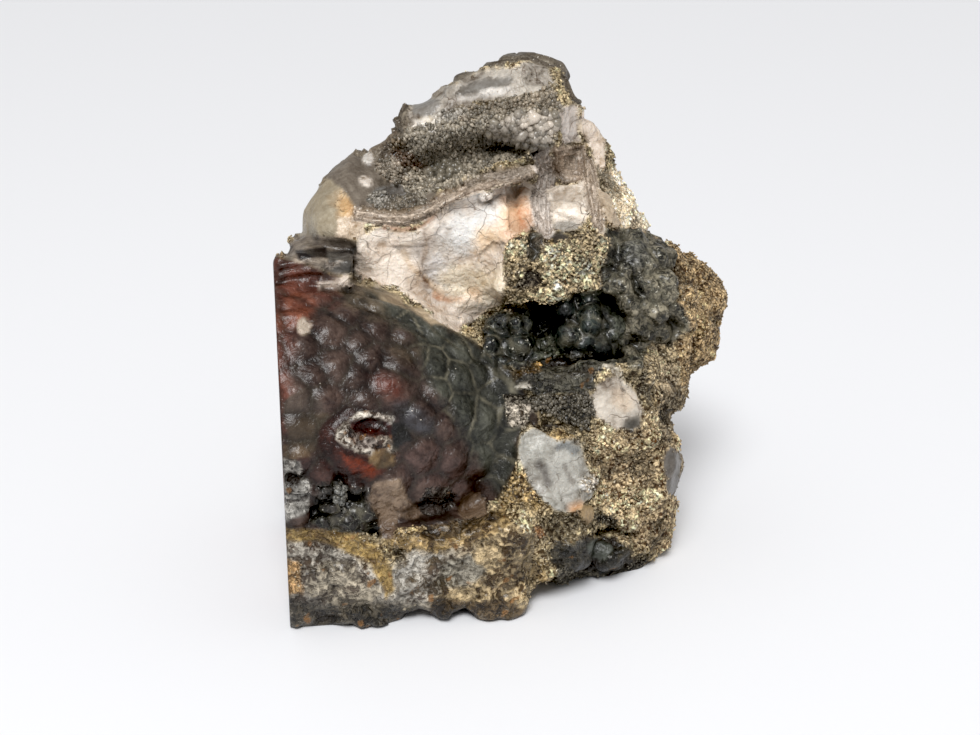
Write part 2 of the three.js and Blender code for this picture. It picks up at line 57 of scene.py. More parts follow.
# The eye stands in the plane of the saw cut, above and in front of the stone
EYE = np.array([-38.0, -280.4, 136.0])
VIEW_YAW = math.radians(7.87)
VIEW_PITCH = math.radians(20)
VIEW_DISTANCE = 280.0
PICTURE_WIDTH = 980
PICTURE_MIDDLE = (490.0, 367.5)
LENS = 60.0
SENSOR = 36.0
FOCAL_PX = LENS / SENSOR * PICTURE_WIDTH
FORWARD = np.array([
    math.sin(VIEW_YAW) * math.cos(VIEW_PITCH),
    math.cos(VIEW_YAW) * math.cos(VIEW_PITCH),
    -math.sin(VIEW_PITCH),
])
RIGHT = np.array([math.cos(VIEW_YAW), -math.sin(VIEW_YAW), 0.0])
UP = np.cross(RIGHT, FORWARD)


def make_camera():
    """The camera of the photo's view."""
    data = bpy.data.cameras.new("camera")
    data.lens = LENS
    data.sensor_width = SENSOR
    data.clip_start = 0.01
    data.clip_end = 20
    camera = bpy.data.objects.new("camera", data)
    turn = Matrix(np.column_stack([RIGHT, UP, -FORWARD]).tolist()).to_4x4()
    camera.matrix_world = Matrix.Translation(EYE * MM) @ turn
    bpy.context.scene.collection.objects.link(camera)
    bpy.context.scene.camera = camera


make_camera()


def seen(across, up, y):
    """The point at depth y on the sight line through [across, up] of the front view."""
    sight = FORWARD * VIEW_DISTANCE + RIGHT * across + UP * up
    return EYE + sight * ((y - EYE[1]) / sight[1])


# Outline of the stone in the front view, [across, up], clockwise from the top of the saw cut
OUTLINE = [
    (-60.0, 18.3), (-33.7, 18.6), (-33.4, 21.5), (-31.5, 22.9), (-31.5, 26.7), (-30.5, 28.9),
    (-28.1, 32.8), (-26.7, 34.9), (-21.6, 37.6), (-18.5, 39.1), (-16.8, 40.9), (-16.6, 42.8),
    (-13.7, 44.8), (-8.4, 47.2), (-5.8, 49.3), (-2.7, 51.2), (0.5, 52.4), (4.6, 53.0),
    (8.9, 52.9), (11.1, 51.7), (13.0, 48.8), (14.6, 46.2), (15.1, 44.8), (14.7, 41.9),
    (17.5, 41.1), (18.9, 38.8), (19.5, 35.2), (21.8, 30.9), (24.0, 27.5), (25.7, 24.6),
    (26.2, 22.9), (28.8, 20.7), (31.9, 19.5), (35.2, 18.1), (37.7, 16.2), (39.3, 14.5),
    (39.6, 10.0), (38.2, 4.2), (36.7, 1.6), (33.5, -0.8), (33.6, -3.7), (33.3, -6.3),
    (30.6, -7.6), (30.1, -9.3), (31.4, -14.1), (32.3, -17.6), (30.9, -21.2), (30.3, -23.1),
    (30.3, -26.1), (29.3, -29.4), (27.8, -30.4), (27.9, -32.5), (25.7, -34.0), (21.4, -35.4),
    (18.9, -35.7), (16.1, -34.9), (11.0, -35.9), (7.8, -38.0), (6.2, -40.1), (4.6, -42.4),
    (2.6, -43.3), (-2.7, -43.8), (-5.8, -43.0), (-10.1, -42.4), (-15.3, -43.5), (-22.6, -44.3),
    (-30.0, -44.8), (-60.0, -45.4),
]
OUTLINE_SPARE = 0.6
OUTLINE_BLEND = 3.0

# Big masses: centre, radii or half sizes, turn in degrees (yaw about Z, pitch about X, roll about Y),
# edge radius of a block, and the width over which a mass blends into the others
DOME = dict(at=(-48, -11, 26), size=(55, 25.5, 30.5), blend=2)
MASSES = dict(
    dome=DOME,
    foot=dict(at=(-20, -6, 7), size=(23, 29.5, 11), edge=3, blend=2),
    right_foot=dict(at=(14, -1, 11), size=(21, 22.5, 22), turn=(6, 0, 0), edge=9, blend=5),
    shoulder=dict(at=(7.5, -16.5, 13), size=(13, 16, 17), blend=5),
    belly=dict(at=(20, -6, 24), size=(15, 19, 18), blend=4),
    back_left=dict(at=(-15, 11, 20), size=(26, 19, 29), turn=(14, -9, 8), edge=7, blend=5),
    back_right=dict(at=(11, 13, 22), size=(23, 17, 27), turn=(-20, -7, -10), edge=7, blend=5),
    white_wall=dict(at=(-4, 9, 52), size=(27, 15, 17), turn=(0, 14, 0), edge=5, blend=3),
    left_lobe=dict(at=(-22.5, 12, 60), size=(13, 19, 12), blend=3),
    cap_slope=dict(at=(-6, 14, 68), size=(21, 19, 15), turn=(0, 0, -24), blend=3),
    cap=dict(at=(6, 14, 77), size=(17, 17, 13), turn=(0, 0, -14), blend=3),
    fold=dict(at=(22, 14, 62), size=(9, 15, 15), blend=3),
    saddle=dict(at=seen(22.3, 21.9, 8), size=(9, 13, 9), blend=4),
    hollow_wall=dict(at=(25, 3, 46), size=(12, 16, 14), turn=(0, 0, 20), blend=3),
    hollow_roof=dict(at=(13, 0, 53), size=(12, 12, 6), turn=(0, 0, 12), edge=3, blend=4),
    ledge=dict(at=(14, -12, 33), size=(14, 13, 7), turn=(-8, -8, 4), edge=3, blend=4),
    fin=dict(at=(31, 2, 33), size=(4.5, 13, 17), turn=(10, 0, 0), edge=3, blend=3),
    back_lobe=dict(at=(38, 15, 37), size=(14, 14, 15), turn=(0, 0, 20), blend=2),
)
HOLLOWS = dict(
    hollow=dict(at=(8.5, -15, 44.5), size=(9.5, 11, 5), turn=(0, 0, 8), blend=2),
    hollow_right=dict(at=(17, -13, 43.5), size=(7.5, 8, 6.5), turn=(0, 0, 8), blend=2),
    vug=dict(at=(-5.8, -3, 71.9), size=(13.5, 8, 5), turn=(0, 0, -18), blend=2),
    vug_slit=dict(at=(3.5, -2, 73.2), size=(5.5, 7, 1.5), turn=(0, 0, -14), blend=1),
    vug_end=dict(at=(-15, -3, 73.4), size=(4.5, 7, 3), turn=(0, 0, -30), blend=1),
    broken_pit=dict(at=(-32.5, -36, 24.6), size=(9, 4, 5.5), blend=2),
    undercut=dict(at=(-11.7, -34, 0), size=(5, 6, 1.6), blend=1),
    notch=dict(at=(5.8, -28, 0), size=(4, 7, 5), turn=(30, 0, 0), blend=2),
    eye_pit=dict(at=(18, -24, 7.2), size=(7, 4, 4), blend=1.5),
    side_notch=dict(at=(35.6, 0, 21.1), size=(3, 12, 3), blend=1.5),
    back_scoop=dict(at=(-14, 44, 40), size=(26, 16, 17), turn=(12, 0, 10), blend=2),
    low_scoop=dict(at=(16, 38, 6), size=(20, 11, 17), turn=(-14, 0, 0), blend=2),
    top_scoop=dict(at=(-4, 36, 84), size=(20, 12, 15), turn=(0, 0, -20), blend=2),
)
LUMPS = dict(
    ball=dict(at=seen(17.5, 6.0, -12), size=(4.4, 4.4, 4.6), blend=0.5),
    low_ball=dict(at=seen(13.7, 4.2, -13.5), size=(3.6, 3.6, 3.1), blend=0.5),
    high_ball=dict(at=seen(13.2, 8.3, -11), size=(2.8, 3, 2.5), blend=0.5),
    top_ball=dict(at=seen(16.0, 10.6, -9), size=(3, 3, 2.6), blend=0.5),
    left_ball=dict(at=seen(4.3, 6.9, -12), size=(2.8, 3.2, 2.9), blend=0.5),
    left_knob=dict(at=seen(1.2, 5.1, -12), size=(2.8, 3, 2.4), blend=0.5),
    front_ball=dict(at=seen(0.6, 2.4, -15), size=(3.8, 3.4, 2.6), blend=0.5),
    front_knob=dict(at=seen(4.2, 3.0, -15.5), size=(2.6, 2.8, 2.4), blend=0.5),
    floor_knob=dict(at=seen(6.6, 1.4, -16.5), size=(2.4, 2.4, 2.0), blend=0.5),
    wall_knob=dict(at=seen(22.0, 5.4, -10), size=(3.2, 3, 3.4), blend=0.5),
    nodule=dict(at=(19.5, -20, 32.9), size=(5.2, 3.6, 5.6), blend=0.5),
    eye=dict(at=(18.1, -23, 6.4), size=(4, 3.4, 2.8), blend=0.5),
    lip=dict(at=(-31.2, -3, 57.0), size=(6.9, 12, 2.7), turn=(0, 0, 5), edge=1.2, blend=1),
    band=dict(at=(-10.6, -5, 65.6), size=(20, 4, 1.8), turn=(0, 0, -16), blend=1.5),
    quartz=dict(at=(8.1, -26, 23.2), size=(7, 4, 8.5), turn=(0, 0, -20), blend=1.5),
    right_knob=dict(at=(33.7, -6, 13), size=(4, 7, 5), blend=1.5),
)
DEEP_HOLE = dict(at=(9.3, -13, 44), size=(2.8, 12, 4), blend=1)

# Flat breaks: the way each one faces, in degrees round from the front and up, and its distance
MIDDLE = np.array([5.0, 0.0, 40.0])
BREAKS = [(180, 8, 30), (150, -12, 36), (205, 20, 30), (170, 45, 46), (130, 25, 38), (190, -25, 35)]
BREAK_BLEND = 1.5

# Bubbles of the dome that stand out by their size: across and up in the front view, and radius
LARGE_BUBBLES = [
    (-22.6, -13.2, 6.9), (-16.6, -3.7, 4.8), (-11.5, -15.0, 3.8), (-15.3, 0.3, 3.6),
    (-12.2, -8.5, 3.6), (-10.3, -21.0, 3.6), (-16.1, -19.3, 3.6), (-27.6, 6.3, 3.4),
    (-33.1, -4.7, 3.4), (-4.8, -7.6, 3.4), (-6.0, -15.9, 3.4), (-1.0, -9.0, 3.2),
    (-1.7, -16.7, 3.2), (-4.8, -21.9, 3.2), (-33.1, 8.5, 3.0), (-5.1, -1.5, 3.0),
    (-26.4, 0.3, 2.9), (-9.1, -4.4, 2.9), (-28.6, -5.1, 2.8), (-14.6, 5.6, 2.8),
    (-5.1, 2.8, 2.7), (-30.3, -1.8, 2.6), (-7.7, -10.2, 2.6), (-24.9, 9.5, 2.6),
    (-19.7, 7.3, 2.6), (-20.7, 1.6, 2.4), (-2.1, -0.8, 2.2), (-22.6, 4.2, 2.0),
]
BUBBLE_TRIES = 4500
BUBBLE_LARGEST = 3.2
BUBBLE_SMALLEST = 1.8
BUBBLE_SINK = 0.71
BUBBLE_SINK_SPREAD = 0.18
BUBBLE_GAP = 0.62
BUBBLE_BLEND = 0.75
BUBBLE_MARGIN = 3
BUBBLE_BACK_Y = 12
BUBBLE_FOOT_Z = 14

# Roughness of the broken rock: wavelength, height, and the depths between which it sets in
ROUGHNESS = [(9, 1.5, -90, -80), (4.5, 0.5, -90, -80), (17, 3.5, 2, 22)]
ROUGH_FADE = 3.0

# Folds of the dome's upper part, in place of bubbles: middle of their arcs in the front view, the
# distance between them, their height, and the zone they fill
FOLD_MIDDLE = (-29.8, -14.5)
FOLD_GAP = 2.1
FOLD_HEIGHT = 0.38
FOLD_FLATTEN = 0.82
FOLD_ZONE = [
    (-39.1, 20.1), (-24.0, 15.0), (-15.4, 11.6), (-8.6, 8.1), (-2.7, 4.4), (3.4, 0.3), (1.7, -0.8),
    (-4.8, 2.7), (-11.3, 5.4), (-16.1, 7.1), (-22.3, 10.2), (-27.4, 11.6), (-32.6, 10.2), (-35.7, 7.1),
    (-39.1, 6.4),
]

# The broken bubble, hollowed out where its shell is missing: across and up in the front view,
# height over the dome, half sizes along the dome and through it
DISHES = [
    (-21.2, -12.6, 2.3, (4.9, 1.5, 4.3)),
    (-20.4, -10.2, 1.6, (3.3, 2.6, 1.6)),
    (-25.5, -15.2, 2.6, (2.0, 0.8, 2.6)),
]
DISH_TURN = (17, 0, 0)
DISH_BLEND = 0.5

# The fine surface: grid step, number of triangles, how far its points move onto the surface in grid
# steps, the rim of the saw cut that stays fine, and how far off a point looks for crevices
STEP = 0.48
FACE_COUNT = 198000
COARSE_WEIGHT = 0.5
SETTLE_ROUNDS = 2
SETTLE_STEP = 0.4
SETTLE_LEAST_SLOPE = 0.2
CUT_RIM = 4
GRID_LOW = np.array([-39.3, -40.4, -1.3])
GRID_HIGH = np.array([48.6, 34.0, 90.4])
BLOCK = 4
BLOCK_REACH = 4.6
CREVICE_REACHES = (1.2, 3.0)
FAR = 1e3
OVAL_CORNERS = 14


def rise(value, none, full):
    """0 below none, 1 above full, and smooth between them."""
    t = np.clip((value - none) / (full - none), 0, 1)
    return t * t * (3 - 2 * t)


def slope(value, none, full):
    """0 below none, 1 above full, and in proportion between them."""
    return np.clip((value - none) / (full - none), 0, 1)


def smooth_min(a, b, width):
    """The lesser of two distances, rounded over a width where they meet."""
    h = np.maximum(width - np.abs(a - b), 0) / width
    return np.minimum(a, b) - h * h * width / 4


def smooth_max(a, b, width):
    return -smooth_min(-a, -b, width)


def cell_value(cell, seed):
    """A repeatable number from 0 to 1 for each cell of whole numbers."""
    mask = 0xFFFFFFFF
    x, y, z = (cell[..., i] for i in range(3))
    h = (x * 374761393 + y * 668265263 + z * 2147483647 + seed * 1274126177) & mask
    h = ((h ^ (h >> 13)) * 1274126177) & mask
    h = ((h ^ (h >> 16)) * 2246822519) & mask
    return ((h ^ (h >> 15)) / mask).astype(np.float32)


def noise(points, seed):
    """Smooth noise from -1 to 1 with a wavelength of 1."""
    cell = np.floor(points).astype(np.int64)
    t = (points - cell).astype(np.float32)
    t = t * t * (3 - 2 * t)
    total = 0
    for i in (0, 1):
        for j in (0, 1):
            for k in (0, 1):
                share = 1
                for axis, far in enumerate((i, j, k)):
                    share = share * (t[..., axis] if far else 1 - t[..., axis])
                total = total + share * cell_value(cell + (i, j, k), seed)
    return total * 2 - 1


def clouds(points, wavelength, seed, octaves=3):
    """Layers of noise, each half as long and half as strong as the last."""
    total, weight = 0, 0
    for i in range(octaves):
        total = total + noise(points / (wavelength / 2**i), seed + i) / 2**i
        weight += 1 / 2**i
    return total / weight


def cells(points, size, seed):
    """Nearest and next distance to scattered points, the nearest's number, and the way from it."""
    q = points / size
    home = np.floor(q).astype(np.int64)
    first = np.full(len(q), 9, np.float32)
    second = first.copy()
    number = np.zeros(len(q), np.float32)
    away = np.zeros((len(q), 3), np.float32)
    for i in (-1, 0, 1):
        for j in (-1, 0, 1):
            for k in (-1, 0, 1):
                cell = home + (i, j, k)
                spot = np.stack([cell_value(cell, seed + n) for n in range(3)], -1)
                way = (q - cell - spot).astype(np.float32)
                far = np.linalg.norm(way, axis=-1)
                nearer = far < first
                second = np.where(nearer, first, np.minimum(second, far))
                number = np.where(nearer, cell_value(cell, seed + 3), number)
                away = np.where(nearer[:, None], way, away)
                first = np.where(nearer, far, first)
    return first, second, number, away


def turn_matrix(turn):
    """Rotation by yaw about Z, pitch about X and roll about Y, given in degrees."""
    yaw, pitch, roll = (Matrix.Rotation(math.radians(v), 3, axis) for v, axis in zip(turn, "ZXY"))
    return np.array(yaw @ pitch @ roll, np.float32)


def shape_distance(points, shape):
    """Distance to a rounded block, or to an ellipsoid where the shape has no edge radius."""
    q = (points - np.asarray(shape["at"], np.float32)) @ turn_matrix(shape.get("turn", (0, 0, 0)))
    size = np.asarray(shape["size"], np.float32)
    if "edge" not in shape:
        near = np.linalg.norm(q / size, axis=-1)
        steep = np.linalg.norm(q / size**2, axis=-1)
        return near * (near - 1) / np.maximum(steep, 1e-6)
    out = np.abs(q) - size + shape["edge"]
    return np.linalg.norm(np.maximum(out, 0), axis=-1) + np.minimum(out.max(-1), 0) - shape["edge"]


def polygon_distance(x, y, corners):
    """Distance in a plane to a closed outline, negative inside."""
    best = np.full(x.shape, FAR**2, np.float32)
    inside = np.zeros(x.shape, bool)
    for (ax, ay), (bx, by) in zip(corners, corners[1:] + corners[:1]):
        ex, ey = bx - ax, by - ay
        wx, wy = x - ax, y - ay
        t = np.clip((wx * ex + wy * ey) / (ex * ex + ey * ey), 0, 1)
        best = np.minimum(best, (wx - ex * t) ** 2 + (wy - ey * t) ** 2)
        if ay != by:
            inside ^= ((ay > y) != (by > y)) & (x < ax + (y - ay) * ex / ey)
    return np.where(inside, -1, 1) * np.sqrt(best)


def front_view(points):
    """Across, up and scale of points in the front view."""
    away = (points - EYE).astype(np.float32)
    scale = away @ FORWARD.astype(np.float32) / VIEW_DISTANCE
    return away @ RIGHT.astype(np.float32) / scale, away @ UP.astype(np.float32) / scale, scale


def outline_distance(points):
    """Distance to the cone of sight lines through the outline."""
    across, up, scale = front_view(points)
    return polygon_distance(across, up, OUTLINE) * scale - OUTLINE_SPARE


def break_distance(points):
    """Distance to the block that the flat breaks leave."""
    nearest = np.full(len(points), -FAR, np.float32)
    for round_by, up_by, distance in BREAKS:
        a, e = math.radians(round_by), math.radians(up_by)
        facing = np.array([math.sin(a) * math.cos(e), -math.cos(a) * math.cos(e), math.sin(e)])
        nearest = smooth_max(nearest, (points - MIDDLE) @ facing - distance, BREAK_BLEND)
    return nearest


def sunk_point(direction, sink):
    """A direction on the unit ball, laid on the dome and sunk below its surface."""
    size = np.array(DOME["size"], float)
    normal = direction / size
    return np.array(DOME["at"]) + direction * size - normal / np.linalg.norm(normal) * sink


def on_dome(across, up, sink):
    """The dome's outer point on the sight line through [across, up], sunk below the surface."""
    centre, size = np.array(DOME["at"], float), np.array(DOME["size"], float)
    o = (EYE - centre) / size
    e = (seen(across, up, centre[1]) - EYE) / size
    a, b, c = e @ e, 2 * o @ e, o @ o - 1
    return sunk_point(o + e * (-b - math.sqrt(b * b - 4 * a * c)) / (2 * a), sink)


def in_folds(spot):
    across, up, _ = front_view(spot[None])
    return polygon_distance(across, up, FOLD_ZONE)[0] < 0


def grow_bubbles():
    """Bubble centres and radii: the large ones, then ever smaller ones wherever there is room."""
    at = [on_dome(x, y, r * BUBBLE_SINK) for x, y, r in LARGE_BUBBLES]
    radii = [r for _, _, r in LARGE_BUBBLES]
    tries = np.arange(BUBBLE_TRIES)
    none = np.zeros_like(tries)
    heights = cell_value(np.stack([tries, none, none], -1), 5).astype(float) * 2 - 1
    angles = cell_value(np.stack([tries, none + 1, none], -1), 5).astype(float) * 2 * math.pi
    for i, height, angle in zip(tries, heights, angles):
        radius = BUBBLE_LARGEST + (BUBBLE_SMALLEST - BUBBLE_LARGEST) * i / BUBBLE_TRIES
        ring = math.sqrt(1 - height * height)
        sink = radius * (BUBBLE_SINK + BUBBLE_SINK_SPREAD * cell_value(np.array([i, 2, 0]), 5))
        spot = sunk_point(np.array([math.cos(angle) * ring, math.sin(angle) * ring, height]), sink)
        if spot[0] < SAWN_X - radius or spot[1] > BUBBLE_BACK_Y or spot[2] < BUBBLE_FOOT_Z:
            continue
        if in_folds(spot):
            continue
        gaps = np.linalg.norm(np.array(at) - spot, axis=1) - BUBBLE_GAP * (np.array(radii) + radius)
        if gaps.min() > 0:
            at.append(spot)
            radii.append(radius)
    return np.array(at), np.array(radii)


BUBBLES_AT, BUBBLE_RADII = grow_bubbles()


def stone_distance(points, bubble):
    """Distance to the stone, negative inside, given the distance to its nearest bubble."""
    d = np.full(len(points), FAR, np.float32)
    for mass in MASSES.values():
        d = smooth_min(d, shape_distance(points, mass), mass["blend"])
    for hollow in HOLLOWS.values():
        d = smooth_max(d, -shape_distance(points, hollow), hollow["blend"])
    for lump in LUMPS.values():
        d = smooth_min(d, shape_distance(points, lump), lump["blend"])
    d = smooth_max(d, -shape_distance(points, DEEP_HOLE), DEEP_HOLE["blend"])
    d = smooth_max(d, break_distance(points), BREAK_BLEND)
    d = smooth_min(d, bubble, BUBBLE_BLEND)
    for across, up, height, size in DISHES:
        dish = dict(at=on_dome(across, up, -height), size=size, turn=DISH_TURN)
        d = smooth_max(d, -shape_distance(points, dish), DISH_BLEND)
    d = smooth_max(d, outline_distance(points), OUTLINE_BLEND)
    rough = slope(shape_distance(points, DOME), 0, ROUGH_FADE)
    for i, (wavelength, height, none, full) in enumerate(ROUGHNESS):
        ridges = np.abs(noise(points / wavelength, i + 1)) - 0.25
        d = d + rough * slope(points[:, 1], none, full) * height * ridges
    return np.maximum(d, np.maximum(SAWN_X - points[:, 0], BASE_Z - points[:, 2]))


def bubble_grid(axes):
    """Distance to the nearest bubble, on the whole grid, filled in near the bubbles only."""
    grid = np.full([len(a) for a in axes], FAR, np.float32)
    for at, radius in zip(BUBBLES_AT, BUBBLE_RADII):
        reach = radius + BUBBLE_MARGIN
        cut = tuple(slice(*np.searchsorted(a, (m - reach, m + reach))) for a, m in zip(axes, at))
        near = (a[c] - m for a, c, m in zip(axes, cut, at))
        x, y, z = np.meshgrid(*near, indexing="ij", sparse=True)
        grid[cut] = np.minimum(grid[cut], np.sqrt(x * x + y * y + z * z) - radius)
    return grid


def grid_values():
    """The stone's distances on the fine grid. Blocks far from the surface get one value each."""
    count = np.ceil((GRID_HIGH - GRID_LOW) / STEP / BLOCK).astype(int)
    axes = [GRID_LOW[i] + np.arange(count[i] * BLOCK) * STEP for i in range(3)]
    centres = np.stack(np.meshgrid(*(a.reshape(-1, BLOCK).mean(1) for a in axes), indexing="ij"), -1)
    centres = centres.reshape(-1, 3).astype(np.float32)
    values = stone_distance(centres, np.full(len(centres), FAR, np.float32)).reshape(count)
    for axis in range(3):
        values = values.repeat(BLOCK, axis)
    near = np.abs(values) < BLOCK_REACH
    index = np.nonzero(near)
    points = np.stack([axes[i][index[i]] for i in range(3)], -1).astype(np.float32)
    values[near] = stone_distance(points, bubble_grid(axes)[near])
    return values


def net_surface(values):
    """One vertex in each grid cell that the surface passes, joined to four-sided faces."""
    inside = values < 0
    shape = np.array(values.shape) - 1
    total = np.zeros((*shape, 3), np.float32)
    count = np.zeros(shape, np.float32)

    def part(corner):
        return tuple(slice(c, c + n) for c, n in zip(corner, shape))

    for axis in range(3):
        for corner in np.ndindex(2, 2, 2):
            if corner[axis]:
                continue
            far = tuple(c + (i == axis) for i, c in enumerate(corner))
            v0, v1 = values[part(corner)], values[part(far)]
            cross = (v0 < 0) != (v1 < 0)
            t = np.where(cross, v0 / np.where(cross, v0 - v1, 1), 0)
            for k in range(3):
                total[..., k] += np.where(cross, corner[k] + (t if k == axis else 0), 0)
            count += cross
    active = count > 0
    index = np.full(active.shape, -1)
    index[active] = np.arange(active.sum())
    spots = np.argwhere(active) + total[active] / count[active][:, None]
    faces = []
    for axis in range(3):
        u, w = (k for k in range(3) if k != axis)
        low = [slice(1, -1)] * 3
        high = [slice(1, -1)] * 3
        low[axis], high[axis] = slice(0, -1), slice(1, None)
        starts_inside = inside[tuple(low)]
        edge = np.argwhere(starts_inside != inside[tuple(high)])
        forward = starts_inside[tuple(edge.T)]
        edge[:, u] += 1
        edge[:, w] += 1
        ring = []
        for du, dw in ((-1, -1), (0, -1), (0, 0), (-1, 0)):
            cell = edge.copy()
            cell[:, u] += du
            cell[:, w] += dw
            ring.append(index[tuple(cell.T)])
        ring = np.stack(ring, 1)
        backward = forward if axis == 1 else ~forward
        ring[backward] = ring[backward][:, ::-1]
        faces.append(ring)
    return spots, np.concatenate(faces)


def grid_sample(values, spots):
    """Values between grid points."""
    low = np.clip(np.floor(spots).astype(int), 0, np.array(values.shape) - 2)
    t = spots - low
    total = 0
    for corner in np.ndindex(2, 2, 2):
        share = np.prod([t[:, i] if c else 1 - t[:, i] for i, c in enumerate(corner)], 0)
        total = total + share * values[tuple((low + corner).T)]
    return total


def grid_slope(values, spots):
    """Direction in which the values rise, of length 1 where they are true distances."""
    reach = 0.5
    steps = np.eye(3) * reach
    rises = [grid_sample(values, spots + s) - grid_sample(values, spots - s) for s in steps]
    return np.stack(rises, -1) / (2 * reach * STEP)


def thin_out(spots, faces, coarse):
    """Joins faces where the surface may be coarser, until FACE_COUNT triangles are left."""
    mesh = bpy.data.meshes.new("net")
    mesh.from_pydata(spots.tolist(), [], faces.tolist())
    net = bpy.data.objects.new("net", mesh)
    bpy.context.scene.collection.objects.link(net)
    group = net.vertex_groups.new(name="coarse")
    group.add(np.nonzero(coarse)[0].tolist(), COARSE_WEIGHT, "REPLACE")
    joining = net.modifiers.new("joining", "DECIMATE")
    joining.ratio = FACE_COUNT / (2 * len(faces))
    joining.vertex_group = group.name
    joining.use_collapse_triangulate = True
    joined = net.evaluated_get(bpy.context.evaluated_depsgraph_get()).to_mesh()
    joined.calc_loop_triangles()
    spots = np.empty(len(joined.vertices) * 3)
    joined.vertices.foreach_get("co", spots)
    faces = np.empty(len(joined.loop_triangles) * 3, np.int32)
    joined.loop_triangles.foreach_get("vertices", faces)
    bpy.data.objects.remove(net)
    bpy.data.meshes.remove(mesh)
    return spots.reshape(-1, 3), faces.reshape(-1, 3)


def stone_surface():
    """Points on the stone in millimetres, its faces, and each point's outward way and hollowness."""
    values = grid_values()
    spots, faces = net_surface(values)
    for _ in range(SETTLE_ROUNDS):
        rising = grid_slope(values, spots)
        steep = np.maximum((rising**2).sum(-1, keepdims=True), SETTLE_LEAST_SLOPE)
        move = -grid_sample(values, spots)[:, None] * rising / steep / STEP
        spots = spots + np.clip(move, -SETTLE_STEP, SETTLE_STEP)
    points = GRID_LOW + spots * STEP
    rising = grid_slope(values, spots)
    turned_away = (rising * (EYE - points)).sum(-1) < 0
    cut_middle = (points[:, 0] < SAWN_X + STEP / 2) & (shape_distance(points, DOME) < -CUT_RIM)
    edge = cut_middle | (points[:, 2] < BASE_Z + STEP / 2)
    spots, faces = thin_out(spots, faces, turned_away | edge)
    rising = grid_slope(values, spots)
    outward = rising / np.maximum(np.linalg.norm(rising, axis=-1, keepdims=True), 1e-6)
    hollowness = np.zeros(len(spots), np.float32)
    last = np.array(values.shape) - 1.01
    for reach in CREVICE_REACHES:
        clear = grid_sample(values, np.clip(spots + outward * reach / STEP, 0, last))
        hollowness += np.clip(1 - clear / reach, 0, 1).astype(np.float32) / len(CREVICE_REACHES)
    return GRID_LOW + spots * STEP, faces, outward, hollowness


def colour(code):
    """A colour as the shader takes it, from its usual six-digit code."""
    parts = [int(code[i:i + 2], 16) / 255 for i in (0, 2, 4)]
    return [p / 12.92 if p <= 0.04045 else ((p + 0.055) / 1.055) ** 2.4 for p in parts]


def oval(x, y, half_width, half_height, turn=0):
    """Corners of an ellipse in the picture, turned clockwise in degrees."""
    corners = []
    for i in range(OVAL_CORNERS):
        a = 2 * math.pi * i / OVAL_CORNERS
        c, w = math.cos(a) * half_width, math.sin(a) * half_height
        t = math.radians(turn)
        corners.append((x + c * math.cos(t) - w * math.sin(t), y + c * math.sin(t) + w * math.cos(t)))
    return corners


def ribbon(width, *path):
    """Corners of a strip of one width along a path in the picture."""
    path = np.array(path, float)
    along = np.gradient(path, axis=0)
    side = np.stack([-along[:, 1], along[:, 0]], 1) / np.linalg.norm(along, axis=1)[:, None]
    return [tuple(p) for p in np.concatenate([path + side * width / 2, (path - side * width / 2)[::-1]])]


# What a part of the surface is made of
KINDS = ("agate", "quartz", "rock", "druse", "knobs", "folds", "mottle", "clear")

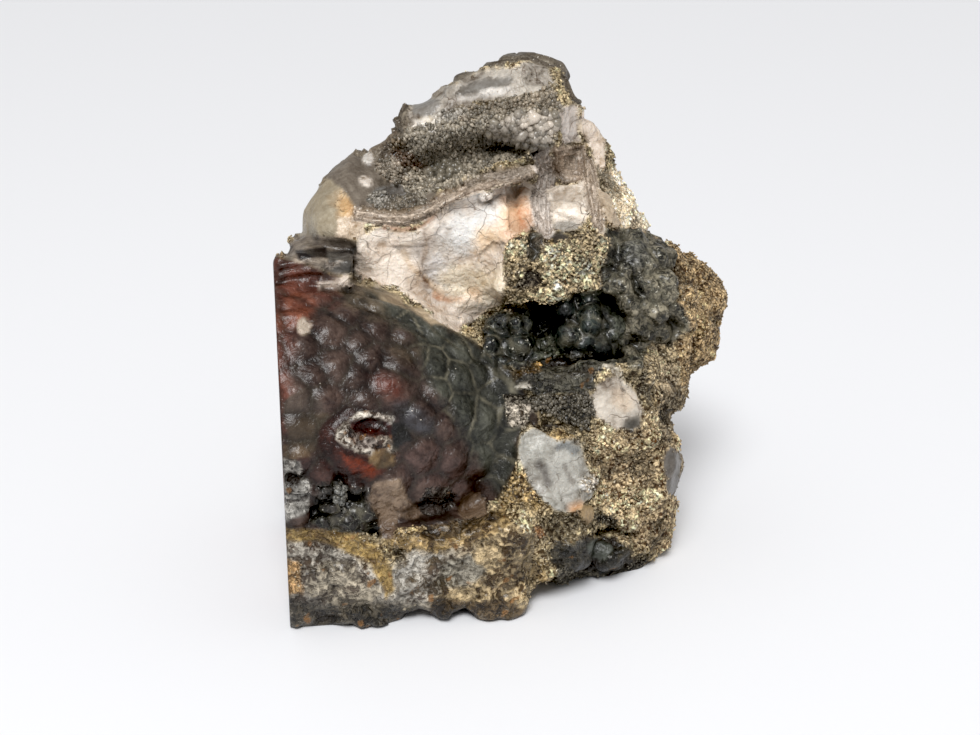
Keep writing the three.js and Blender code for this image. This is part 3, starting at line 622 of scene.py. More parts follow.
# Zones of the front, later ones over earlier ones: kind, light colour, dark colour, strength of the
# bands that follow the zone's edge, distance between bands, raggedness of the edge, and corners in
# the picture. All distances are in its pixels.
ZONES = dict(
    left_slope=("folds", "9A8E7C", "4A3C2E", 0.3, 5, 5, [
        (292, 244), (298, 190), (326, 160), (388, 108), (404, 92), (432, 126), (404, 190), (362, 224)]),
    gold_rock=("rock", "DCC49C", "40290F", 0, 8, 9, [
        (596, 430), (640, 420), (676, 400), (690, 480), (668, 560), (612, 534), (600, 500),
        (584, 470)]),
    right_column=("rock", "C8B490", "2E200F", 0, 8, 6, [
        (652, 290), (690, 300), (690, 425), (664, 425), (640, 380), (650, 340)]),
    back_lobe=("rock", "BCA27A", "3C2A16", 0, 8, 4, [
        (668, 236), (730, 240), (730, 380), (684, 400), (672, 330), (666, 280)]),
    foot_quartz=("mottle", "CEC6B8", "46382A", 0, 16, 10, [
        (284, 538), (320, 534), (352, 548), (376, 566), (392, 590), (412, 560), (440, 548), (500, 536),
        (520, 560), (500, 600), (440, 612), (380, 612), (284, 628)]),
    foot_end=("mottle", "D2BA90", "443218", 0, 12, 12, [
        (456, 552), (500, 520), (540, 530), (530, 590), (510, 622), (450, 620), (430, 600),
        (440, 570)]),
    foot_white=("mottle", "D4CEC2", "52442F", 0, 12, 7, [
        (372, 585), (392, 565), (410, 545), (440, 556), (420, 572), (440, 590), (400, 600)]),
    foot_clear=("mottle", "C8BCA6", "42362A", 0.1, 12, 6, [
        (310, 566), (350, 560), (385, 590), (370, 604), (330, 606), (306, 590)]),
    foot_green=("mottle", "C4BCAA", "42361F", 0, 12, 6, [
        (440, 560), (470, 550), (486, 574), (462, 592), (436, 584)]),
    # Painted shadow: the bottom of the foot is dark where it meets the floor
    foot_shaded_bottom=("mottle", "5E5648", "0E0B07", 0.25, 6, 8, [
        (284, 598), (330, 602), (380, 598), (430, 606), (430, 640), (284, 640)]),
    foot_shaded_bottom_end=("mottle", "6A583E", "140D08", 0.2, 6, 6, [
        (430, 598), (500, 600), (524, 606), (520, 630), (430, 632)]),
    ochre=("mottle", "CCAC6C", "523B1A", 0.35, 7, 5, [
        (282, 520), (310, 524), (345, 530), (376, 545), (392, 566), (396, 590), (386, 596), (372, 566),
        (350, 552), (318, 542), (284, 540)]),
    ochre_right=("mottle", "C6A874", "3C2A14", 0.2, 7, 6, [
        (380, 532), (430, 536), (480, 520), (506, 508), (512, 524), (470, 546), (420, 552),
        (386, 548)]),
    ochre_left=("rock", "D0A878", "604A30", 0.2, 7, 4, [(284, 560), (298, 562), (302, 592), (286, 596)]),
    dome=("agate", "584840", "20120F", 0, 12, 2, [
        (262, 254), (300, 262), (350, 283), (400, 303), (440, 323), (470, 343), (500, 364), (528, 394),
        (520, 441), (514, 472), (496, 502), (470, 524), (380, 530), (262, 528)]),
    dome_red=("agate", "6C4236", "38201A", 0, 12, 12, [
        (262, 252), (322, 268), (350, 290), (330, 304), (304, 300), (298, 330), (288, 350), (290, 400),
        (300, 420), (286, 440), (262, 440)]),
    dome_red_spot=("agate", "84523F", "4A2418", 0, 12, 8, oval(298, 312, 22, 16, -30)),
    dome_rust=("agate", "5A3228", "2E150E", 0, 12, 9, oval(388, 386, 22, 13, 30)),
    dome_olive=("agate", "786A58", "2C251C", 0.25, 10, 8, [
        (340, 284), (370, 288), (410, 310), (440, 330), (410, 332), (370, 318), (345, 300)]),
    dome_green=("agate", "53534A", "191A15", 0, 12, 9, [
        (362, 285), (400, 302), (440, 322), (470, 342), (500, 364), (530, 394), (522, 441), (514, 472),
        (498, 500), (484, 478), (474, 452), (456, 420), (440, 400), (424, 372), (414, 340),
        (388, 318)]),
    dome_brown_patch=("agate", "5E5042", "241A13", 0, 12, 9, oval(402, 350, 16, 12)),
    dome_bloom=("agate", "504F54", "221C18", 0, 12, 9, oval(414, 420, 26, 11, 38)),
    dome_rose=("agate", "5E4A44", "1E1310", 0, 12, 8, [
        (400, 444), (440, 440), (468, 470), (466, 490), (440, 486), (400, 476)]),
    dark_lump=("mottle", "4A3F38", "120D0A", 0, 12, 4, oval(436, 502, 20, 15, -20)),
    tan_edge=("quartz", "8A7764", "3C2E20", 0, 12, 5, oval(474, 508, 16, 14)),
    brown_edge=("mottle", "86704E", "30220F", 0, 12, 6, oval(458, 528, 40, 9, -14)),
    facet_grey=("agate", "544940", "302520", 0.2, 8, 3, [
        (284, 402), (308, 384), (326, 412), (300, 428), (284, 430)]),
    facet_olive=("agate", "54483B", "382D22", 0.2, 8, 3, [
        (286, 430), (302, 416), (330, 412), (318, 450), (288, 458)]),
    facet_gold=("agate", "6C5A46", "48382B", 0.2, 8, 3, [(282, 444), (302, 440), (310, 456), (284, 468)]),
    facet_maroon=("agate", "48322C", "221411", 0, 8, 4, [
        (286, 462), (306, 456), (340, 484), (322, 490), (292, 486)]),
    druse_left=("mottle", "C4C0B8", "22180F", 0, 8, 4, [
        (282, 458), (298, 462), (312, 486), (308, 512), (284, 520)]),
    druse_dark=("knobs", "3A3632", "0A0A08", 0, 8, 4, [
        (316, 484), (338, 480), (372, 488), (378, 520), (384, 536), (340, 532), (310, 522)]),
    druse_spark=("druse", "8C8E8C", "0E0A08", 0, 8, 2, [
        (336, 488), (345, 486), (348, 502), (342, 512), (336, 500)]),
    tan_lump=("quartz", "8E7A66", "443428", 0, 8, 2, [
        (374, 482), (400, 478), (410, 500), (424, 514), (414, 520), (398, 516), (394, 540), (382, 540),
        (378, 516), (368, 500)]),
    broken_shell=("agate", "402018", "160B08", 0, 8, 2, oval(356, 446, 40, 40)),
    broken_orange=("agate", "8A3A1C", "2C100A", 0, 8, 3, [
        (338, 450), (352, 456), (370, 464), (384, 470), (372, 480), (354, 476), (344, 464)]),
    broken_floor=("mottle", "6E5038", "1E0F0A", 0, 8, 3, [
        (344, 426), (392, 424), (395, 462), (380, 462), (350, 450)]),
    broken_white=("mottle", "F4EADA", "4A3828", 0, 8, 4, ribbon(
        7, (393, 420), (378, 417), (360, 417), (345, 426), (340, 438), (351, 447), (366, 450),
        (380, 456))),
    broken_flakes=("mottle", "D8CCBA", "3A281C", 0, 8, 4, ribbon(8, (378, 438), (388, 444), (392, 452))),
    broken_grey=("mottle", "C0B2A6", "42332B", 0, 8, 2, [(352, 432), (378, 440), (372, 450), (356, 448)]),
    broken_red=("agate", "4E1A11", "100504", 0, 8, 1, [
        (348, 422), (366, 418), (386, 420), (392, 426), (390, 436), (372, 436), (354, 432)]),
    broken_tan=("agate", "8C7452", "503C28", 0, 8, 2, [
        (372, 452), (384, 448), (392, 454), (394, 466), (378, 468), (368, 462)]),
    broken_black=("agate", "2E2D2C", "0A0908", 0.3, 8, 2, [
        (392, 422), (404, 424), (414, 440), (402, 446), (392, 452)]),
    white_chip=("quartz", "C8BAAA", "7E6E5A", 0, 8, 1, oval(304, 326, 7, 9, 15)),
    left_lobe=("agate", "CCC0A8", "9E8E74", 0.1, 9, 4, [
        (300, 200), (328, 176), (345, 186), (362, 208), (362, 232), (330, 238), (300, 236)]),
    left_orange=("quartz", "DAB888", "AA8052", 0, 8, 8, oval(346, 206, 11, 17, -25)),
    left_edge=("quartz", "E0CEB8", "927A5C", 0, 8, 5, [(340, 218), (364, 218), (368, 240), (336, 238)]),
    ledge=("agate", "BCAE9C", "564840", 0.35, 5, 3, [
        (286, 246), (306, 234), (340, 238), (364, 244), (362, 264), (340, 276), (296, 262),
        (284, 258)]),
    ledge_dark=("agate", "2E221E", "080404", 0.2, 6, 2, [(294, 250), (326, 246), (330, 256), (300, 260)]),
    ledge_grey=("agate", "74706A", "403A34", 0.3, 7, 3, [
        (328, 252), (362, 244), (364, 266), (350, 276), (330, 272)]),
    ledge_sliver=("quartz", "E8DACC", "7A6650", 0, 7, 2, [
        (316, 282), (340, 279), (344, 274), (358, 276), (352, 286), (318, 288)]),
    ledge_sliver_high=("quartz", "ACA296", "382C22", 0, 7, 2, [
        (324, 266), (340, 260), (346, 262), (330, 270)]),
    under_ribbon=("agate", "A8977E", "625240", 0.6, 6, 4, [
        (352, 272), (372, 290), (396, 296), (430, 314), (458, 334), (440, 326), (400, 308),
        (362, 288), (346, 280)]),
    white_wall=("quartz", "F8ECDE", "BCA690", 0, 8, 5, [
        (358, 238), (377, 229), (413, 232), (435, 215), (477, 193), (499, 187), (536, 182), (545, 206),
        (536, 224), (505, 243), (510, 262), (512, 296), (484, 310), (460, 330), (440, 322), (420, 306),
        (396, 292), (372, 288), (354, 270)]),
    wall_blue=("quartz", "F1EFEB", "B8B2AA", 0, 8, 16, [
        (436, 240), (452, 216), (480, 200), (500, 192), (498, 220), (480, 250), (462, 262),
        (440, 256)]),
    wall_blue_low=("quartz", "F6F2EE", "C0B8B0", 0, 8, 10, oval(440, 278, 16, 22, -10)),
    wall_cream=("quartz", "F8ECD6", "D4BE9C", 0, 8, 12, oval(474, 284, 36, 20, 10)),
    wall_orange=("quartz", "F8D4AE", "DC9A6C", 0, 8, 11, [
        (503, 200), (520, 196), (530, 208), (526, 230), (506, 240), (500, 222)]),
    wall_amber=("quartz", "F4E0C6", "E6C094", 0, 8, 12, oval(488, 242, 15, 14, -40)),
    wall_spot=("quartz", "F0D4B4", "CC9A6C", 0, 8, 7, oval(474, 295, 7, 5)),
    wall_shade=("quartz", "D8CEC4", "5C4C40", 0, 8, 8, oval(424, 250, 12, 9, -50)),
    wall_brown=("quartz", "E8D6C0", "B89A78", 0, 8, 3, ribbon(
        6, (402, 252), (410, 266), (426, 280), (444, 294))),
    wall_brown_left=("quartz", "C8B8A8", "674C36", 0, 8, 3, ribbon(
        4, (424, 228), (426, 250), (420, 272), (428, 286))),
    wall_brown_low=("quartz", "F0D6BC", "C09070", 0, 8, 3, ribbon(5, (432, 294), (448, 300), (466, 298))),
    grey_lens=("agate", "958A7C", "5C5044", 0.2, 7, 3, [
        (326, 176), (352, 152), (376, 166), (384, 180), (420, 178), (440, 190), (430, 204), (392, 213),
        (355, 209), (343, 190)]),
    lens_blue=("agate", "A8A6A2", "605448", 0.7, 6, 3, oval(398, 190, 26, 7, -6)),
    lens_tan=("druse", "9B8F80", "453626", 0, 7, 3, [
        (378, 200), (420, 196), (428, 204), (396, 214), (376, 212)]),
    lens_white=("druse", "F0E8DC", "6A5C4A", 0, 7, 3, [(368, 196), (384, 192), (386, 206), (372, 212)]),
    ribbon_low=("folds", "E2D0BC", "6A5642", 0.9, 4.2, 2, ribbon(
        15, (352, 214), (378, 218), (404, 219), (426, 214), (446, 199), (470, 187), (500, 179),
        (534, 171))),
    ribbon_top=("folds", "A4927D", "463620", 0.5, 3, 2, ribbon(
        4, (362, 208), (400, 211), (424, 206), (446, 191), (478, 178), (510, 170))),
    ribbon_grey=("folds", "BCAEA0", "594C38", 0.6, 3, 2, ribbon(
        8, (466, 184), (490, 176), (512, 174), (530, 170))),
    rust_line=("quartz", "D8B49A", "80553A", 0, 7, 2, ribbon(
        4, (384, 228), (404, 230), (422, 226), (436, 216))),
    cap=("quartz", "C4BCB0", "4C4032", 0, 8, 6, [
        (404, 112), (413, 100), (456, 82), (477, 70), (545, 62), (556, 82), (540, 96), (478, 102),
        (450, 118),
        (440, 134), (410, 134)]),
    cap_blue=("agate", "98948E", "6C6459", 0.2, 8, 7, oval(482, 86, 30, 9, -14)),
    cap_blue_left=("agate", "B0ACA6", "7A7268", 0.2, 8, 6, oval(424, 106, 14, 8, -20)),
    cap_white=("quartz", "E2DCD4", "98938C", 0, 8, 5, oval(480, 94, 32, 5, -10)),
    cap_block=("quartz", "F8F2EA", "CCC0AC", 0, 8, 2, [
        (412, 118), (440, 114), (442, 128), (428, 134), (412, 132)]),
    cap_crust=("folds", "8E8474", "33281C", 0.7, 5, 3, [
        (392, 128), (404, 96), (450, 64), (500, 40), (560, 44), (584, 88), (582, 110), (570, 100),
        (556, 72),
        (530, 62), (478, 70), (450, 84), (410, 104), (402, 134)]),
    cap_tan=("druse", "C8B8A2", "483A2A", 0.2, 8, 5, [
        (440, 120), (456, 106), (490, 102), (534, 92), (552, 84), (560, 108), (534, 113),
        (500, 119), (456, 124)]),
    vug=("druse", "DACDB8", "33281C", 0, 8, 5, [
        (404, 128), (440, 124), (474, 118), (540, 108), (558, 120), (556, 146), (531, 156), (492, 170),
        (450, 186), (420, 196), (400, 184), (412, 160)]),
    vug_white=("druse", "F2EADE", "6A5638", 0, 8, 4, oval(452, 116, 18, 5, -6)),
    vug_pale=("clear", "DCD0C2", "705C44", 0, 8, 4, [
        (492, 124), (520, 116), (546, 112), (556, 128), (548, 144), (520, 142), (500, 138)]),
    # Painted shade: near black along the slit cut into the vug
    vug_slit=("druse", "3A2E22", "050301", 0, 8, 2, ribbon(8, (486, 148), (506, 149), (532, 144))),
    vug_rust=("druse", "8B6248", "140802", 0, 8, 4, oval(408, 160, 18, 9, 20)),
    vug_tan=("druse", "EEDCC6", "745C44", 0, 8, 3, oval(394, 172, 16, 10, 20)),
    vug_hole=("druse", "9A8468", "241008", 0, 8, 2, oval(401, 144, 9, 6)),
    vug_grey=("clear", "908879", "241C12", 0, 8, 5, oval(444, 170, 20, 12, -20)),
    vug_chip=("quartz", "E3DED6", "6A5A4C", 0, 8, 2, oval(368, 160, 6, 7, 20)),
    vug_chip_low=("quartz", "EBE1D6", "7A6A58", 0, 8, 2, oval(366, 182, 7, 5, 30)),
    fold_grey=("folds", "F6EADE", "887666", 0.6, 4, 3, [
        (528, 150), (548, 140), (556, 170), (552, 210), (556, 240), (538, 236), (530, 200),
        (536, 176)]),
    fold_white=("quartz", "E6DDD5", "79654F", 0.2, 6, 2, [
        (560, 108), (576, 104), (580, 142), (566, 146), (558, 128)]),
    fold_brown=("folds", "D8C6B2", "7A6450", 0.3, 6, 4, [
        (552, 146), (586, 142), (592, 182), (562, 182), (552, 170)]),
    fold_block=("quartz", "EFE4D6", "AF9E89", 0, 6, 3, [
        (546, 188), (584, 181), (590, 210), (580, 228), (554, 226)]),
    fold_block_low=("quartz", "A8A298", "4A4034", 0, 6, 3, oval(566, 226, 14, 6)),
    fold_right=("folds", "E0CFBD", "6A553C", 0.7, 4, 2, [
        (582, 150), (594, 160), (606, 200), (604, 240), (592, 226), (584, 190)]),
    slab=("quartz", "F0E2D4", "B19C84", 0.1, 6, 2, [
        (578, 108), (600, 128), (606, 168), (600, 172), (590, 150), (580, 130)]),
    slab_low=("quartz", "C4B29A", "624C34", 0.1, 6, 3, [
        (596, 184), (612, 196), (624, 216), (616, 232), (602, 214)]),
    tan_right=("rock", "FFF4DC", "D8BC94", 0.1, 6, 4, [
        (600, 168), (616, 172), (650, 226), (652, 246), (622, 240), (612, 200)]),
    grey_nose=("agate", "605A50", "30281E", 0.4, 6, 3, oval(562, 240, 12, 8, 20)),
    orange_edge=("quartz", "D0A878", "8C6A48", 0, 6, 2, ribbon(7, (628, 228), (646, 236), (664, 246))),
    roof=("rock", "E6CEA4", "2A1E0E", 0, 6, 5, [
        (503, 248), (530, 232), (552, 246), (580, 232), (604, 236), (612, 270), (600, 296), (560, 300),
        (520, 312), (500, 316), (506, 280)]),
    roof_dark=("knobs", "706658", "0C0704", 0, 6, 5, oval(534, 246, 9, 15, 8)),
    roof_dark_low=("rock", "807462", "100804", 0, 6, 6, oval(530, 282, 12, 9)),
    dark_wall=("knobs", "7E7766", "14130D", 0, 6, 6, [
        (604, 228), (640, 230), (672, 252), (678, 290), (686, 330), (668, 345), (650, 340), (640, 372),
        (614, 360), (608, 310), (600, 280), (606, 256)]),
    dark_wall_grey=("knobs", "706E66", "0E0E0C", 0, 6, 8, oval(630, 256, 14, 12, 40)),
    wall_column=("rock", "CCB898", "40301A", 0, 6, 6, oval(668, 400, 14, 40)),
    hollow=("knobs", "5A5C50", "030402", 0, 6, 5, [
        (484, 318), (520, 310), (566, 296), (600, 288), (622, 310), (620, 350), (596, 364), (540, 366),
        (492, 360)]),
    # Painted shade: near black over the deep hole in the hollow
    deep_hole_shade=("knobs", "151613", "010101", 0, 6, 4, oval(540, 326, 15, 18, -10)),
    balls=("knobs", "2A302D", "020202", 0, 8, 3, [
        (558, 306), (580, 296), (604, 310), (616, 330), (606, 352), (580, 366), (556, 352),
        (550, 330)]),
    balls_left=("knobs", "2A2E2A", "030303", 0, 8, 3, [
        (484, 326), (510, 312), (530, 320), (536, 350), (530, 372), (500, 366), (484, 350)]),
    olive_ledge=("mottle", "6E6A5C", "12120D", 0.1, 8, 5, [
        (512, 364), (548, 358), (596, 352), (624, 358), (600, 374), (596, 392), (560, 396),
        (520, 392)]),
    ledge_yellow=("rock", "B88E4C", "3A2C16", 0.3, 4, 3, ribbon(8, (516, 376), (526, 370), (540, 366))),
    ledge_white=("quartz", "CCC6B8", "625A4A", 0, 4, 1, [(514, 386), (530, 383), (532, 388), (516, 390)]),
    ledge_line=("rock", "A5A58C", "50523E", 0, 4, 2, ribbon(3, (556, 352), (566, 360), (580, 364))),
    black_patch=("druse", "605A50", "090805", 0, 6, 6, [
        (528, 394), (560, 396), (590, 390), (596, 412), (588, 428), (560, 420), (532, 408)]),
    small_lumps=("rock", "C4B9A9", "2D2418", 0, 6, 4, [
        (506, 396), (528, 394), (536, 410), (526, 428), (508, 424)]),
    brown_gap=("agate", "4C3E32", "160D05", 0, 6, 2, oval(533, 420, 6, 8)),
    nodule=("quartz", "C8BFB2", "706252", 0, 8, 3, [
        (600, 380), (616, 374), (632, 386), (642, 410), (640, 428), (616, 430), (596, 416),
        (590, 396)]),
    nodule_rose=("quartz", "D0C0AC", "AA957F", 0, 8, 7, oval(622, 400, 9, 11)),
    nodule_grey=("agate", "68645C", "2C261E", 0, 8, 7, oval(632, 424, 10, 7, -20)),
    nodule_sliver=("quartz", "E4DAC7", "5A5040", 0, 8, 1, ribbon(6, (602, 366), (612, 369), (622, 376))),
    white_patch=("quartz", "B4B2AA", "4A402E", 0, 8, 4, [
        (518, 434), (534, 428), (556, 440), (577, 440), (586, 460), (597, 484), (592, 498), (568, 514),
        (556, 510), (534, 490), (519, 460)]),
    patch_clear=("quartz", "8A8C8A", "3E3A34", 0, 8, 3, ribbon(9, (556, 448), (566, 446), (577, 453))),
    patch_grey=("quartz", "8A8882", "3C362E", 0, 8, 3, ribbon(8, (536, 462), (544, 470), (550, 486))),
    patch_grey_small=("quartz", "8C8880", "463A30", 0, 8, 3, ribbon(
        5, (564, 462), (567, 472), (574, 484))),
    patch_tan=("rock", "D3CDC2", "6E604C", 0, 8, 4, oval(588, 484, 9, 8)),
    patch_orange=("quartz", "CC9E74", "745230", 0, 8, 7, oval(576, 508, 8, 5, -30)),
    low_orange=("rock", "B98A5E", "3A2010", 0, 8, 3, oval(540, 532, 9, 5, 30)),
    # Painted shade: a near-black patch where a pit lies in shade
    pit_shade=("rock", "2E2619", "020100", 0, 8, 3, oval(606, 519, 10, 5, 10)),
    tan_glass=("agate", "C4A880", "6E5A3C", 0, 8, 4, oval(588, 515, 9, 10)),
    eye_ring=("mottle", "4C4638", "0C0C08", 0.2, 5, 6, [
        (548, 552), (560, 540), (590, 540), (612, 536), (634, 552), (636, 570), (600, 580),
        (560, 578)]),
    eye=("agate", "70746A", "34362E", 0, 8, 6, oval(602, 550, 14, 9, -8)),
    eye_foot=("rock", "6A655A", "080705", 0.2, 6, 5, [
        (556, 566), (600, 574), (650, 560), (640, 584), (590, 588), (548, 586)]),
    right_knob=("agate", "968F86", "585048", 0.2, 8, 3, oval(673, 472, 9, 25)),
)

# Strata of the sides and back, from the base up: kind, light colour, dark colour, and top height
STRATA = [
    ("quartz", "B9AF9F", "655B50", 9),
    ("rock", "C0A679", "54422F", 30),
    ("rock", "AE8D5C", "49382A", 44),
    ("quartz", "E9DFD0", "BBA58D", 55),
    ("folds", "B4A48E", "62554A", 60),
    ("rock", "9A8767", "463A2D", 74),
    ("folds", "82776A", "3B342D", 95),
]
STRATA_WANDER = 9.0
STRATA_BAND_GAP = 1.1

# Patches on the sides and back: kind, light colour, dark colour, size, seed, and rarity
PATCHES = [
    ("quartz", "A89C8C", "5C5044", 19, 31, 0.38),
    ("knobs", "4A4F48", "1D2120", 14, 47, 0.36),
    ("quartz", "E4DACB", "A99680", 11, 63, 0.40),
    ("rock", "9C6B42", "5A3A26", 16, 79, 0.30),
]

# Zones at least this ragged have soft edges
SOFT_FROM = 7

# Depths between which the front's paint gives way to the back's, and how much deeper it goes on top
BACK_FROM = 12.0
BACK_FULL = 17.0
TOP_FURTHER = 15

# Layers of the agate that the saw shows, from the skin inwards: kind, light colour, dark colour,
# strength of bands, and depth. Deeper ones wander off from the skin.
LAYERS = [
    ("agate", "5A2F24", "2A1513", 0.5, 0.0),
    ("agate", "9C4C2A", "5A261A", 0.6, 1.3),
    ("agate", "74402F", "3C1F1A", 0.5, 2.9),
    ("agate", "947762", "5E483C", 0.4, 4.6),
    ("agate", "857B72", "58504A", 0.3, 8.5),
    ("agate", "A0968A", "70675E", 0.2, 13.5),
    ("quartz", "BDB3A6", "857B6F", 0.0, 19.0),
]
LAYER_BLUR = 0.25
LAYER_BAND_GAP = 0.95
CUT_MIDDLE_Z = 26


def picture(at):
    """Where points stand in the picture, in pixels."""
    across, up, _ = front_view(at)
    scale = FOCAL_PX / VIEW_DISTANCE
    return PICTURE_MIDDLE[0] + across * scale, PICTURE_MIDDLE[1] - up * scale


def row(kind, pale, deep, bands=0):
    """One line of the paint table: kind weights, two colours and strength of bands."""
    return np.array([*(kind == k for k in KINDS), *colour(pale), *colour(deep), bands], np.float32)


KIND = slice(0, len(KINDS))
PALE = slice(len(KINDS), len(KINDS) + 3)
DEEP = slice(len(KINDS) + 3, len(KINDS) + 6)
BANDS = len(KINDS) + 6


def weight(table, kind):
    """How much of each point is of one kind."""
    return table[:, KINDS.index(kind)]


def lay(table, share, line):
    """Lays one line over the paint table with a share from 0 to 1."""
    table += share[:, None] * (line - table)


def back_paint(at):
    """Paint of the sides and back, and the number of the band at each point."""
    height = at[:, 2] + clouds(at, 26, 201) * STRATA_WANDER + clouds(at, 5, 211) * 2
    table = np.tile(row(*STRATA[0][:3], 0.2), (len(at), 1))
    for (_, _, _, low), (kind, pale, deep, _) in zip(STRATA, STRATA[1:]):
        bands = 0.6 if kind == "folds" else 0
        lay(table, rise(height, low - 0.5, low + 0.5), row(kind, pale, deep, bands))
    for kind, pale, deep, size, seed, least in PATCHES:
        share = rise(clouds(at, size, seed) + 0.15 * noise(at / 2.5, seed + 9), least, least + 0.05)
        lay(table, share, row(kind, pale, deep))
    return table, height / STRATA_BAND_GAP


def paint(at):
    """The paint table of the whole surface, and the band number at each point."""
    table, number = back_paint(at)
    further = rise(at[:, 2], 48, 60) * TOP_FURTHER
    front = 1 - rise(at[:, 1] + clouds(at, 11, 221) * 4 - further, BACK_FROM, BACK_FULL)
    chosen = np.nonzero(front > 0)[0]
    near = at[chosen]
    x, y = picture(near)
    wide, fine = clouds(near, 3.2, 231, 2), noise(near / 0.9, 241)
    facing = table[chosen]
    lay(facing, np.ones(len(near), np.float32), row("rock", "D4C098", "40301A"))
    lay(facing, rise(clouds(near, 7, 251), 0.1, 0.35), row("rock", "B49A6C", "302110"))
    ring = number[chosen]
    for kind, pale, deep, bands, gap, ragged, corners in ZONES.values():
        low, high = np.min(corners, 0) - ragged, np.max(corners, 0) + ragged
        inside = np.nonzero((x > low[0]) & (x < high[0]) & (y > low[1]) & (y < high[1]))[0]
        edge = polygon_distance(x[inside], y[inside], corners)
        ripple = wide[inside] * ragged * 0.8 + fine[inside] * ragged * 0.3
        soft = 2.5 if ragged < SOFT_FROM else ragged * 1.3
        share = np.clip(0.5 - (edge + ripple) / soft, 0, 1).astype(np.float32)
        part = facing[inside]
        lay(part, share, row(kind, pale, deep, bands))
        facing[inside] = part
        ring[inside] = np.where(share > 0.5, edge / gap, ring[inside])
    number[chosen] = ring
    table[chosen] += front[chosen][:, None] * (facing - table[chosen])
    return table, number


# Sizes of the relief's forms
BREAK_SIZE = 8.5
GRANULE_SIZE = 3.3
CRUMB_SIZE = 1.45
CRUST_SIZE = 3.0
SMALL_CRUST_SIZE = 1.5
KNOB_SIZE = 3.7
SMALL_KNOB_SIZE = 2.0
LUMP_SIZE = 2.8

# Kind, size and seed of the crumbs, their least lightness, its spread, and the lightness of their edges,
# which is painted shade where the crumbs follow the relief's crevices
CRUMBS = [
    ("rock", CRUMB_SIZE, 325, 1.05, 0.6, 0.6),
    ("rock", 4.6, 326, 0.85, 0.4, 0.9),
    ("mottle", LUMP_SIZE, 329, 0.85, 0.4, 0.6),
    ("mottle", 6.5, 330, 0.8, 0.4, 0.8),
    ("druse", 1.6, 331, 0.8, 0.4, 0.6),
]


def knob_borders(at, table):
    """1 where two knobs of the dark crust meet, 0 elsewhere."""
    borders = np.zeros(len(at), np.float32)
    chosen = np.nonzero(weight(table, "knobs") > 0.5)[0]
    first, second, _, _ = cells(at[chosen], KNOB_SIZE, 341)
    borders[chosen] = 1 - rise(second - first, 0.02, 0.16)
    return borders


def crumb_shade(at, table):
    """Each crumb of rock and each lump of mottled quartz has its own lightness and a darker edge, which
    is painted shade where the cells are those of the relief's crevices.
    """
    shade = np.ones(len(at), np.float32)
    for kind, size, seed, least, spread, edge in CRUMBS:
        chosen = np.nonzero(weight(table, kind) > 0.5)[0]
        first, second, own, _ = cells(at[chosen], size, seed)
        inner = edge + (1 - edge) * rise(second - first, 0, 0.25)
        shade[chosen] *= (least + spread * own) * inner
    return shade


def relief(at, table, number):
    """Height of the fine forms over the smooth stone, in millimetres."""
    height = np.zeros(len(at), np.float32)

    def add(kind, form):
        chosen = np.nonzero(weight(table, kind) > 0.02)[0]
        height[chosen] += weight(table, kind)[chosen] * form(at[chosen], number[chosen])

    def away(p, size, seed):
        """Distance to the nearest of scattered points, as a share of their spacing."""
        return cells(p, size, seed)[0]

    def broken(p, _):
        warped = p + 1.5 * np.stack([noise(p / 5, 301 + i) for i in range(3)], -1)
        first, second, own, way = cells(warped * (1, 1, 1.25), BREAK_SIZE, 311)
        lean = np.sin(own[:, None] * (41, 67, 89))
        step = (way * lean).sum(-1) * 0.9 + (own - 0.5) * 0.6
        crack = 1 - rise(second - first, 0.0, 0.07)
        return step - crack * 0.22 + noise(p / 2.6, 317) * 0.12

    def granular(p, _):
        ridges = 0.4 - np.abs(noise(p / 7.5, 321))
        lumps = 0.5 - away(p + noise(p / 2, 323)[:, None] * 0.5, GRANULE_SIZE, 327)
        crumbs = 0.5 - away(p, CRUMB_SIZE, 325)
        return ridges * 2.4 + lumps * 1.7 + crumbs * 0.8

    def crusted(p, _):
        return (0.55 - away(p, CRUST_SIZE, 331)) * 1.2 + (0.5 - away(p, SMALL_CRUST_SIZE, 337)) * 0.55

    def knobbly(p, _):
        small = 0.35 - away(p, SMALL_KNOB_SIZE, 347) ** 2
        return (0.4 - away(p, KNOB_SIZE, 341) ** 2) * 3.4 + small * 0.9

    def folded(p, ring):
        return np.sin(2 * math.pi * (ring + 0.3 * noise(p / 4, 351))) * 0.4 + noise(p / 2.2, 353) * 0.3

    def glassy(p, _):
        return noise(p / 6, 361) * 0.18

    def lumpy(p, _):
        ridges = 0.4 - np.abs(noise(p / 8, 333))
        return broken(p, None) * 0.7 + (0.45 - away(p, LUMP_SIZE, 329)) * 1.3 + ridges * 1.6

    add("quartz", broken)
    add("rock", granular)
    add("druse", crusted)
    add("clear", crusted)
    add("knobs", knobbly)
    add("folds", folded)
    add("agate", glassy)
    add("mottle", lumpy)
    across, up, _ = front_view(at)
    in_zone = np.clip(0.5 - polygon_distance(across, up, FOLD_ZONE) / 1.5, 0, 1) * (at[:, 1] < 8)
    out = np.hypot((across - FOLD_MIDDLE[0]) * FOLD_FLATTEN, up - FOLD_MIDDLE[1])
    wave = (out + noise(at / 8, 371) * 1.9) / FOLD_GAP
    height += in_zone * (np.abs(np.sin(math.pi * wave)) - 0.5) * 2 * FOLD_HEIGHT
    return height


# Nearness of points on the saw cut or base, the width of their rims without relief, and the room
# left inside the solid's box
ON_CUT = 0.05
CUT_FADE = 1.2
BOX_SPARE = 0.01


